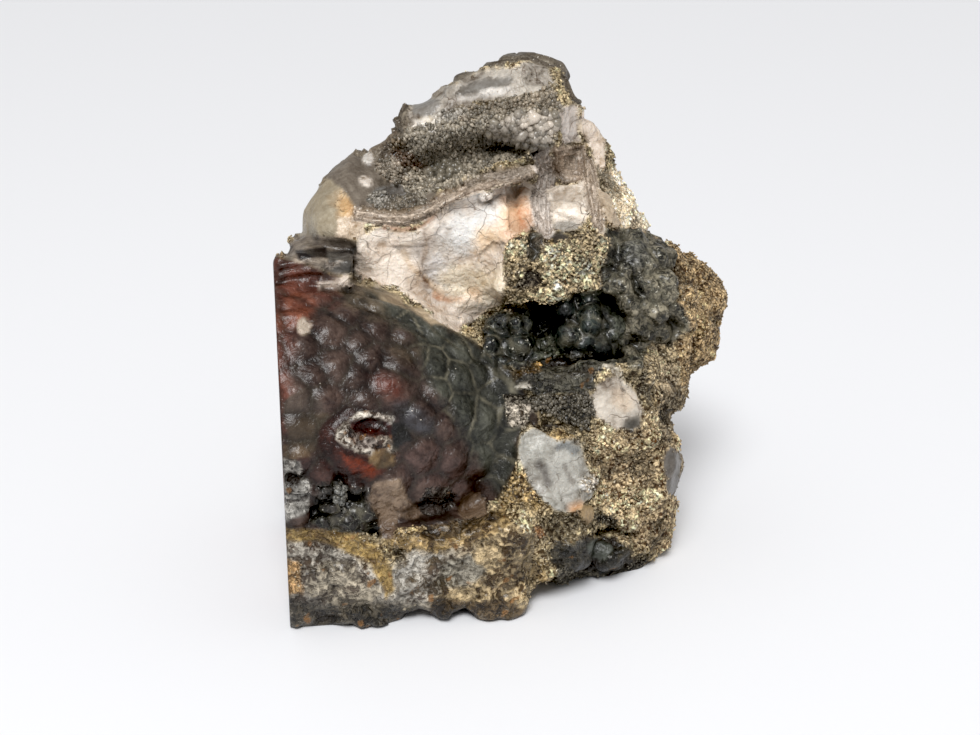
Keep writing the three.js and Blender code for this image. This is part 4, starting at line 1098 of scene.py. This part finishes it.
def rim_lines(at):
    """How near points of the dome are to a bubble's border and to its crown, and its number."""
    rims = np.zeros(len(at), np.float32)
    crowns = np.full(len(at), 0.5, np.float32)
    own = np.full(len(at), 0.5, np.float32)
    chosen = np.nonzero(np.abs(shape_distance(at, DOME)) < 4)[0]
    for part in np.array_split(chosen, 8):
        gaps = np.linalg.norm(at[part][:, None] - BUBBLES_AT[None], axis=-1) - BUBBLE_RADII
        two = np.partition(gaps, 1, axis=1)[:, :2]
        rims[part] = 1 - rise(two[:, 1] - two[:, 0], 0.05, 0.5)
        crowns[part] = rise(two[:, 1] - two[:, 0], 0.0, 1.9)
        own[part] = cell_value(np.stack([gaps.argmin(1)] * 3, -1), 9)
    return rims, crowns, own


points, faces, outward, hollowness = stone_surface()
table, band_number = paint(points)
sawn = points[:, 0] < SAWN_X + ON_CUT
based = points[:, 2] < BASE_Z + ON_CUT
borders = knob_borders(points, table)
lift = relief(points, table, band_number)
lift = lift * rise(points[:, 0] - SAWN_X, 0, CUT_FADE) * rise(points[:, 2] - BASE_Z, 0, CUT_FADE)
points = points + outward * lift[:, None]
box_low, box_high = (np.array(corner) / MM for corner in cad_box)


def in_box(at):
    """Points kept just inside the solid's box."""
    return np.clip(at, box_low + BOX_SPARE, box_high - BOX_SPARE)


points = in_box(points)

rims, crowns, own = rim_lines(points)
bubbly = weight(table, "agate") > 0.5
# Painted shade: the dome's colours darken from each bubble's crown towards the creases between bubbles;
# each bubble also has its own tone
shade = np.where(bubbly, (0.38 + 0.64 * crowns) * (0.8 + 0.4 * own), 1)
shade *= crumb_shade(points, table)
# Painted shade: points that the relief sinks count as more hollow, so they darken too
hollowness = np.clip(hollowness + np.clip(-lift - 0.05, 0, 0.8) * 0.8, 0, 1)
# Painted light and shade: rock and dark knobs are lighter where the relief rises and darker where it sinks
rough = weight(table, "rock") + weight(table, "knobs") > 0.5
relief_light_and_shade = 1 + np.where(rough, np.clip(lift, -0.6, 0.7) * 0.55, 0)
for tint in (PALE, DEEP):
    table[:, tint] *= shade[:, None]
    table[:, tint] *= relief_light_and_shade[:, None]

# The saw cut shows the agate's layers
depth = -shape_distance(points, DOME)
wander = clouds(points, 20, 405, 2) * 7 + (points[:, 2] - CUT_MIDDLE_Z) * 0.15
depth += clouds(points, 9, 401, 2) * 1.2 + rise(depth, 1, 14) * wander
cut = np.nonzero(sawn & (depth > -1))[0]
cut_paint = table[cut]
for kind, pale, deep, bands, least in LAYERS:
    share = rise(depth[cut], least - LAYER_BLUR, least + LAYER_BLUR) if least else np.ones(len(cut))
    lay(cut_paint, share, row(kind, pale, deep, bands))
table[cut] = cut_paint
band_number[cut] = depth[cut] / LAYER_BAND_GAP


def give(mesh, name, values):
    """Hands values to a mesh, one per point: numbers, or colours and vectors of three."""
    if values.ndim == 1:
        mesh.attributes.new(name, "FLOAT", "POINT").data.foreach_set("value", values.astype(np.float32))
    else:
        filled = np.concatenate([values, np.ones((len(values), 1))], 1).astype(np.float32)
        mesh.attributes.new(name, "FLOAT_COLOR", "POINT").data.foreach_set("color", filled.ravel())


def make_piece(name, at, rings, materials, chosen=None, values=()):
    """A piece of the stone from points in millimetres and faces with one number of corners."""
    mesh = bpy.data.meshes.new(name)
    sides = rings.shape[1]
    mesh.vertices.add(len(at))
    mesh.vertices.foreach_set("co", (at * MM).astype(np.float32).ravel())
    mesh.loops.add(rings.size)
    mesh.loops.foreach_set("vertex_index", rings.astype(np.int32).ravel())
    mesh.polygons.add(len(rings))
    mesh.polygons.foreach_set("loop_start", (np.arange(len(rings)) * sides).astype(np.int32))
    for material in materials:
        mesh.materials.append(material)
    if chosen is not None:
        mesh.polygons.foreach_set("material_index", chosen.astype(np.int32))
    mesh.update()
    for label, numbers in values:
        give(mesh, label, numbers)
    piece = bpy.data.objects.new(name, mesh)
    bpy.context.scene.collection.objects.link(piece)
    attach(piece, "root")
    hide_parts("fire_agate_rough")
    return piece


class Paint:
    """A material whose nodes are added one after another."""

    def __init__(self, name):
        self.material = bpy.data.materials.new(name)
        self.material.use_nodes = True
        self.tree = self.material.node_tree
        self.shader = self.tree.nodes["Principled BSDF"]
        place = self.add("TexCoord").outputs["Object"]
        self.place = self.add("VectorMath", {0: place, "Scale": 1 / MM}, operation="SCALE").outputs[0]

    def add(self, kind, inputs=None, **settings):
        node = self.tree.nodes.new("ShaderNode" + kind)
        for key, value in settings.items():
            setattr(node, key, value)
        for key, value in (inputs or {}).items():
            self.feed(node.inputs[key], value)
        return node

    def feed(self, socket, value):
        if isinstance(value, bpy.types.NodeSocket):
            self.tree.links.new(value, socket)
        else:
            socket.default_value = value

    def set(self, **inputs):
        for key, value in inputs.items():
            self.feed(self.shader.inputs[key.replace("_", " ")], value)

    def math(self, operation, a, b=0.0, c=0.0):
        return self.add("Math", {0: a, 1: b, 2: c}, operation=operation).outputs[0]

    def blend(self, parts):
        """Weighted sum of several values."""
        total = 0.0
        for share, value in parts:
            total = self.math("MULTIPLY_ADD", value, share, total)
        return total

    def times(self, a, b):
        return self.math("MULTIPLY", a, b)

    def wave(self, number, turn):
        """0 to 1 and back while the number goes on by 2 pi / turn."""
        return self.math("MULTIPLY_ADD", self.math("SINE", self.times(number, turn)), 0.5, 0.5)

    def tint(self, share, skin, code):
        """The skin with a share of one colour over it."""
        return self.mix(share, skin, (*colour(code), 1))

    def between(self, value, low, high):
        """0 at low, 1 at high, and in proportion between them."""
        inputs = {"Value": value, "From Min": low, "From Max": high}
        return self.add("MapRange", inputs, clamp=True).outputs[0]

    def noise(self, wavelength, detail=3.0, distortion=0.0):
        inputs = {"Vector": self.place, "Scale": 1 / wavelength, "Detail": detail}
        inputs["Distortion"] = distortion
        return self.add("TexNoise", inputs).outputs["Fac"]

    def cracks(self, size, width, warp):
        """1 on the borders of irregular cells, 0 elsewhere, and how near their middles are."""
        bend = self.add("TexNoise", {"Vector": self.place, "Scale": 2 / size}).outputs["Color"]
        warped = {0: bend, 1: (warp * size,) * 3, 2: self.place}
        place = self.add("VectorMath", warped, operation="MULTIPLY_ADD").outputs[0]
        inputs = {"Vector": place, "Scale": 1 / size}
        edge = self.add("TexVoronoi", inputs, feature="DISTANCE_TO_EDGE").outputs["Distance"]
        middle = self.add("TexVoronoi", inputs, feature="SMOOTH_F1").outputs["Distance"]
        crown = self.math("SUBTRACT", 1.0, self.math("MULTIPLY", middle, middle))
        return self.math("SUBTRACT", 1.0, self.between(edge, 0.0, width)), crown

    def chips(self, size):
        """A different number for each small cell."""
        colour_out = self.add("TexVoronoi", {"Vector": self.place, "Scale": 1 / size}).outputs["Color"]
        return self.add("SeparateColor", {0: colour_out}).outputs[0]

    def mix(self, share, a, b):
        node = self.add("Mix", data_type="RGBA")
        self.feed(node.inputs[0], share)
        self.feed(node.inputs[6], a)
        self.feed(node.inputs[7], b)
        return node.outputs[2]

    def value(self, name):
        return self.add("Attribute", attribute_name=name).outputs["Fac"]

    def hue(self, name):
        return self.add("Attribute", attribute_name=name).outputs["Color"]


FINE_BAND_TURN = 14.7
RIM_COLOUR = "8A8470"
FLECK_EDGE = 0.06
FLECK_SHARE = 0.8
QUARTZ_IOR = 1.54


def stone_material(name, look):
    """The finish of one kind of surface, coloured by the light and dark colours of its points."""
    p = Paint(name)
    cloud = p.between(p.noise(look["cloud"], 5, 0.15), 0.36, 0.64)
    speck = p.between(p.noise(look["speck"], 2, look["curl"]), 0.5 - look["sharp"], 0.5 + look["sharp"])
    chip = p.chips(look["chip"])
    base = p.blend(zip(look["shares"], (cloud, speck, chip)))
    base = p.math("POWER", p.between(base, *look["spread"]), look["lean"])
    number = p.math("MULTIPLY_ADD", p.noise(3, 2), 0.9, p.value("band_number"))
    wave = p.blend([(0.65, p.wave(number, 2 * math.pi)), (0.35, p.wave(number, FINE_BAND_TURN))])
    banded = p.math("MULTIPLY_ADD", p.value("band_strength"), p.math("SUBTRACT", wave, base), base)
    skin = p.mix(banded, p.hue("deep"), p.hue("pale"))
    line, crown = p.cracks(look["crack_size"], look["crack_width"], look["crack_warp"])
    line = p.times(p.times(line, look["crack_share"]), p.between(p.noise(7, 2), 0.4, 0.6))
    skin = p.tint(line, skin, look["crack_colour"])
    rim = p.times(p.value("rim"), p.between(p.noise(2.5, 2), 0.35, 0.7))
    skin = p.tint(rim, skin, RIM_COLOUR)
    fleck = p.between(p.noise(look["fleck"], 1), look["fleck_from"], look["fleck_from"] + FLECK_EDGE)
    skin = p.tint(p.times(fleck, FLECK_SHARE), skin, look["fleck_colour"])
    # Painted shade: the skin darkens towards a dark colour where the surface lies in a hollow
    skin = p.tint(p.times(p.value("hollowness"), look["crevice_shade"]), skin, look["crevice_shade_colour"])
    smooth, dull = look["roughness"]
    rough = p.math("MULTIPLY_ADD", p.noise(look["speck"] * 2, 2), dull - smooth, smooth)
    if name == "agate":
        crown = p.times(crown, p.value("scaly"))
    height = p.blend([*zip(look["bumps"], (cloud, speck, chip, crown)), (-0.5, line)])
    bump = {"Height": height, "Strength": look["bump"], "Distance": look["bump_depth"] * MM}
    normal = p.add("Bump", bump).outputs[0]
    p.set(Base_Color=skin, Roughness=rough, Normal=normal, Specular_IOR_Level=look["shine"])
    p.set(Coat_Weight=look["coat"], Coat_Roughness=look["coat_roughness"], Subsurface_Weight=look["under"])
    p.set(Subsurface_Radius=(1.0, 0.75, 0.55), Subsurface_Scale=look["under_depth"] * MM)
    p.set(IOR=QUARTZ_IOR)
    return p.material


# The finish of each kind. Its tone is blended from clouds, specks and chips of the given sizes, then
# spread and leaned towards dark. Cracks, flecks and painted shade in hollows lie over it, and the
# bumps are the shares of clouds, specks, chips and cell middles in its fine relief.
LOOKS = dict(
    agate=dict(
        lean=1.1, spread=(0.05, 0.95), shine=0.32, cloud=5.0, speck=0.9, sharp=0.16, curl=0.3, chip=0.5,
        shares=(0.46, 0.34, 0.2), crack_size=3.4, crack_width=0.035, crack_warp=0.5, crack_share=0.0,
        crack_colour="7E8070", fleck=0.45, fleck_from=0.78, fleck_colour="D8CDBE", crevice_shade=0.75,
        crevice_shade_colour="0B0807", roughness=(0.25, 0.5), bumps=(0.4, 0.55, 0.2, 1.0), bump=0.7,
        bump_depth=0.25, coat=0.07, coat_roughness=0.1, under=0.0, under_depth=1.5),
    quartz=dict(
        lean=0.6, spread=(0.1, 0.9), shine=0.4, cloud=4.5, speck=0.9, sharp=0.14, curl=0.2, chip=0.8,
        shares=(0.65, 0.25, 0.1), crack_size=5.5, crack_width=0.018, crack_warp=0.45, crack_share=0.8,
        crack_colour="54402E", fleck=0.6, fleck_from=0.74, fleck_colour="8A745C", crevice_shade=0.55,
        crevice_shade_colour="4A3626", roughness=(0.3, 0.6), bumps=(0.6, 0.6, 0.3, 0.0), bump=0.8,
        bump_depth=0.3, coat=0.2, coat_roughness=0.2, under=0.12, under_depth=1.2),
    rock=dict(
        lean=1.3, spread=(0.2, 0.8), shine=0.25, cloud=2.2, speck=0.75, sharp=0.08, curl=0.5, chip=0.5,
        shares=(0.3, 0.4, 0.3), crack_size=4.5, crack_width=0.05, crack_warp=0.8, crack_share=0.7,
        crack_colour="1E1610", fleck=0.5, fleck_from=0.66, fleck_colour="F2E6CC", crevice_shade=0.9,
        crevice_shade_colour="1A130D", roughness=(0.5, 0.85), bumps=(0.2, 1.0, 0.5, 0.0), bump=1.0,
        bump_depth=0.45, coat=0.05, coat_roughness=0.2, under=0.0, under_depth=1.0),
    druse=dict(
        lean=1.3, spread=(0.2, 0.8), shine=0.35, cloud=2.4, speck=0.8, sharp=0.07, curl=1.2, chip=0.6,
        shares=(0.2, 0.4, 0.4), crack_size=3, crack_width=0.05, crack_warp=0.8, crack_share=0.5,
        crack_colour="17110C", fleck=0.5, fleck_from=0.68, fleck_colour="F4F0E6", crevice_shade=0.9,
        crevice_shade_colour="120D09", roughness=(0.2, 0.5), bumps=(0.2, 0.7, 1.0, 0.0), bump=1.0,
        bump_depth=0.4, coat=0.3, coat_roughness=0.12, under=0.0, under_depth=1.0),
    knobs=dict(
        lean=1.7, spread=(0.1, 0.9), shine=0.24, cloud=3.0, speck=0.8, sharp=0.08, curl=1.0, chip=0.6,
        shares=(0.45, 0.4, 0.15), crack_size=1.8, crack_width=0.05, crack_warp=0.6, crack_share=0.35,
        crack_colour="8A8A78", fleck=0.5, fleck_from=0.70, fleck_colour="C8C4B4", crevice_shade=0.95,
        crevice_shade_colour="030404", roughness=(0.25, 0.55), bumps=(0.2, 0.4, 0.2, 0.6), bump=0.7,
        bump_depth=0.35, coat=0.3, coat_roughness=0.2, under=0.0, under_depth=1.0),
    folds=dict(
        lean=1.0, spread=(0.15, 0.85), shine=0.3, cloud=3.5, speck=0.8, sharp=0.08, curl=0.8, chip=0.6,
        shares=(0.5, 0.35, 0.15), crack_size=4, crack_width=0.04, crack_warp=0.8, crack_share=0.6,
        crack_colour="3E2A1E", fleck=0.5, fleck_from=0.70, fleck_colour="F4EEE2", crevice_shade=0.8,
        crevice_shade_colour="201812", roughness=(0.3, 0.6), bumps=(0.4, 0.7, 0.3, 0.0), bump=0.9,
        bump_depth=0.3, coat=0.15, coat_roughness=0.2, under=0.0, under_depth=1.5),
    mottle=dict(
        lean=1.1, spread=(0.25, 0.75), shine=0.35, cloud=3.4, speck=0.8, sharp=0.1, curl=0.3, chip=0.7,
        shares=(0.5, 0.35, 0.15), crack_size=3.6, crack_width=0.03, crack_warp=1.2, crack_share=0.3,
        crack_colour="C9C0B0", fleck=2.6, fleck_from=0.68, fleck_colour="8A6236", crevice_shade=0.85,
        crevice_shade_colour="1C130D", roughness=(0.25, 0.6), bumps=(0.6, 0.8, 0.4, 0.0), bump=1.0,
        bump_depth=0.45, coat=0.2, coat_roughness=0.15, under=0.0, under_depth=1.0),
)
LOOKS["clear"] = LOOKS["druse"]
materials = [stone_material(kind, LOOKS[kind]) for kind in KINDS]
x, y = picture(points)
green = np.clip(0.5 - polygon_distance(x, y, ZONES["dome_green"][6]) / 16, 0, 1) * (points[:, 1] < 12)
values = [
    ("pale", np.clip(table[:, PALE], 0, 1)),
    ("deep", np.clip(table[:, DEEP], 0, 1)),
    ("band_number", band_number),
    ("band_strength", table[:, BANDS]),
    ("rim", np.maximum(rims * (0.1 + 0.6 * green) * bubbly, borders * 0.45) * ~sawn),
    ("scaly", green),
    ("hollowness", hollowness),
]
main_kind = table[:, KIND].argmax(1)
stone = make_piece("fire_agate_stone", points, faces, materials, main_kind[faces[:, 0]], values)
stone.data.shade_smooth()


def pick(weights, count, seed):
    """Points chosen by their weights, always the same ones for one seed."""
    chance = np.random.default_rng(seed)
    return chance.choice(len(points), count, p=weights / weights.sum()), chance


def frames(directions, chance):
    """Two directions across each given direction, turned at random."""
    helper = chance.normal(size=directions.shape)
    side = np.cross(directions, helper)
    side /= np.linalg.norm(side, axis=1, keepdims=True)
    return side, np.cross(directions, side)


def spread_along(side, other, chance):
    """Steps to and fro across the surface, about one face long."""
    first, second = (chance.uniform(-1, 1, (len(side), 1)) for _ in range(2))
    return (side * first + other * second) * STEP


# How far a grain reaches along, across and out of the surface, in its own size
GRAIN_REACHES = (1.2, 0.8, 0.6)


def grow_grains(name, weights, count, sizes, seed, material):
    """Small angular grains, half sunk in the surface."""
    chosen, chance = pick(weights, count, seed)
    size = chance.uniform(*sizes, (count, 1))
    facing = outward[chosen] + chance.normal(size=(count, 3)) * 0.3
    facing /= np.linalg.norm(facing, axis=1, keepdims=True)
    side, other = frames(facing, chance)
    middle = points[chosen] - outward[chosen] * size * 0.25
    middle += spread_along(side, other, chance)
    corners = []
    for way, reach in zip((side, other, facing), GRAIN_REACHES):
        for sign in (1, -1):
            corners.append(middle + sign * way * size * reach * chance.uniform(0.7, 1.25, (count, 1)))
    at = np.stack(corners, 1).reshape(-1, 3)
    around = (0, 2, 1, 3, 0)
    ring = [(a, b, 4) for a, b in zip(around, around[1:])]
    ring += [(b, a, 5) for a, b in zip(around, around[1:])]
    rings = (np.arange(count)[:, None, None] * 6 + np.array(ring)).reshape(-1, 3)
    shade = chance.uniform(0.12, 0.7, count)
    light = table[chosen][:, PALE] * chance.uniform(0.7, 1.15, (count, 1))
    dark = table[chosen][:, DEEP] * chance.uniform(0.6, 1.1, (count, 1))
    tone = dark + (light - dark) * shade[:, None]
    tone *= np.clip(0.95 + 0.75 * clouds(middle, 3.5, 411, 2), 0.35, 1.6)[:, None]
    # Painted shade: grains in hollows are darker
    tone *= 1 - 0.6 * hollowness[chosen][:, None]
    tones = np.clip(np.repeat(tone, 6, 0), 0, 1)
    return make_piece(name, in_box(at), rings, [material], None, [("tone", tones)])


def grow_crystals(name, weights, count, lengths, seed, material):
    """Six-sided crystals with pointed ends, standing on the surface."""
    chosen, chance = pick(weights, count, seed)
    length = chance.uniform(*lengths, (count, 1))
    wide = length * chance.uniform(0.25, 0.42, (count, 1))
    facing = outward[chosen] + chance.normal(size=(count, 3)) * 0.4
    facing /= np.linalg.norm(facing, axis=1, keepdims=True)
    side, other = frames(facing, chance)
    foot = points[chosen] - facing * length * 0.35 + spread_along(side, other, chance)
    corners = []
    for stage in (0.0, 0.6):
        for i in range(6):
            a = math.pi / 3 * i
            out = (side * math.cos(a) + other * math.sin(a)) * wide
            corners.append(foot + facing * length * stage + out)
    corners.append(foot + facing * length)
    at = in_box(np.stack(corners, 1).reshape(-1, 3))
    ring = []
    for i in range(6):
        j = (i + 1) % 6
        ring += [(i, j, 6 + j), (i, 6 + j, 6 + i), (6 + i, 6 + j, 12)]
    rings = (np.arange(count)[:, None, None] * 13 + np.array(ring)).reshape(-1, 3)
    tone = table[chosen][:, PALE] * chance.uniform(0.3, 1.2, (count, 1))
    # Painted shade: crystals in hollows are darker
    tone *= 1 - 0.75 * hollowness[chosen][:, None]
    tone *= (0.8 + 0.6 * clouds(foot, 4, 421, 2))[:, None]
    tones = np.clip(np.repeat(tone, 13, 0), 0, 1)
    return make_piece(name, at, rings, [material], None, [("tone", tones)])


def grain_material(name, roughness, transmission):
    """Coloured by each grain's own tone, a little paler in specks."""
    p = Paint(name)
    skin = p.tint(p.between(p.noise(0.4, 2), 0.3, 0.7), p.hue("tone"), "E8DCC2")
    skin = p.mix(0.8, skin, p.hue("tone"))
    p.set(Base_Color=skin, Roughness=p.math("MULTIPLY_ADD", p.noise(0.8), 0.3, roughness))
    p.set(Transmission_Weight=transmission, IOR=QUARTZ_IOR, Specular_IOR_Level=0.4)
    return p.material


GRAIN_FRONT_Y = 16
outside = (~sawn & ~based & (points[:, 2] > 0.6) & (points[:, 0] > SAWN_X + 0.8)).astype(float)
in_front = points[:, 1] < GRAIN_FRONT_Y
front_rock = weight(table, "rock") * outside * in_front
back_rock = weight(table, "rock") * outside * ~in_front
druse_share = weight(table, "druse") * outside
clear_share = weight(table, "clear") * outside
grain = grain_material("grain", 0.6, 0.0)
crystal = grain_material("crystal", 0.12, 0.35)
grow_grains("fire_agate_grains", front_rock, 15000, (0.16, 0.42), 1, grain)
grow_grains("fire_agate_back_grains", back_rock, 20000, (0.2, 0.45), 2, grain)
grow_crystals("fire_agate_crystals", druse_share, 5200, (0.5, 1.25), 3, crystal)
grow_crystals("fire_agate_clear_crystals", clear_share, 420, (1.2, 2.8), 4, crystal)

# Floor, light and background: the floor's half width in metres, colours, strengths of the lights, the
# sun's spread, and the picture's black level
FLOOR = 3.0
FLOOR_COLOUR = "EBECEF"
SKY_COLOUR = "F8F7F6"
SKY_POWER = 0.5
KEY_POWER = 2.2
SUN_POWER = 2.1
SUN_SPREAD = math.radians(28)
BLACK_LEVEL = 0.012
floor_mesh = bpy.data.meshes.new("floor")
near, far = -FLOOR, FLOOR * 2
floor_corners = [(-FLOOR, near, 0), (FLOOR, near, 0), (FLOOR, far, 0), (-FLOOR, far, 0)]
floor_mesh.from_pydata(floor_corners, [], [(0, 1, 2, 3)])
floor = bpy.data.objects.new("floor", floor_mesh)
bpy.context.scene.collection.objects.link(floor)
ground = Paint("ground")
ground.set(Base_Color=(*colour(FLOOR_COLOUR), 1), Roughness=0.6)
floor_mesh.materials.append(ground.material)


def make_light(name, place, aim, size, power):
    """A square lamp at a place, turned to its aim."""
    data = bpy.data.lights.new(name, "AREA")
    data.energy = power
    data.size = size
    lamp = bpy.data.objects.new(name, data)
    way = np.array(aim, float) - place
    lamp.location = place
    from_z = -way / np.linalg.norm(way)
    side = np.cross((0, 0, 1), from_z)
    side /= np.linalg.norm(side)
    turn = Matrix(np.column_stack([side, np.cross(from_z, side), from_z]).tolist())
    lamp.rotation_euler = turn.to_euler()
    bpy.context.scene.collection.objects.link(lamp)


make_light("key", (-0.12, -0.6, 0.62), (0, 0, 0.04), 0.2, KEY_POWER)
sun_data = bpy.data.lights.new("sun", "SUN")
sun_data.energy = SUN_POWER
sun_data.angle = SUN_SPREAD
sun = bpy.data.objects.new("sun", sun_data)
sun.rotation_euler = (math.radians(38), 0, math.radians(-14))
bpy.context.scene.collection.objects.link(sun)
view = bpy.context.scene.view_settings
view.view_transform = "Standard"
view.use_curve_mapping = True
view.curve_mapping.black_level = (BLACK_LEVEL,) * 3
view.curve_mapping.update()
world = bpy.data.worlds.new("studio")
world.use_nodes = True
background = world.node_tree.nodes["Background"]
background.inputs["Color"].default_value = (*colour(SKY_COLOUR), 1)
background.inputs["Strength"].default_value = SKY_POWER
bpy.context.scene.world = world
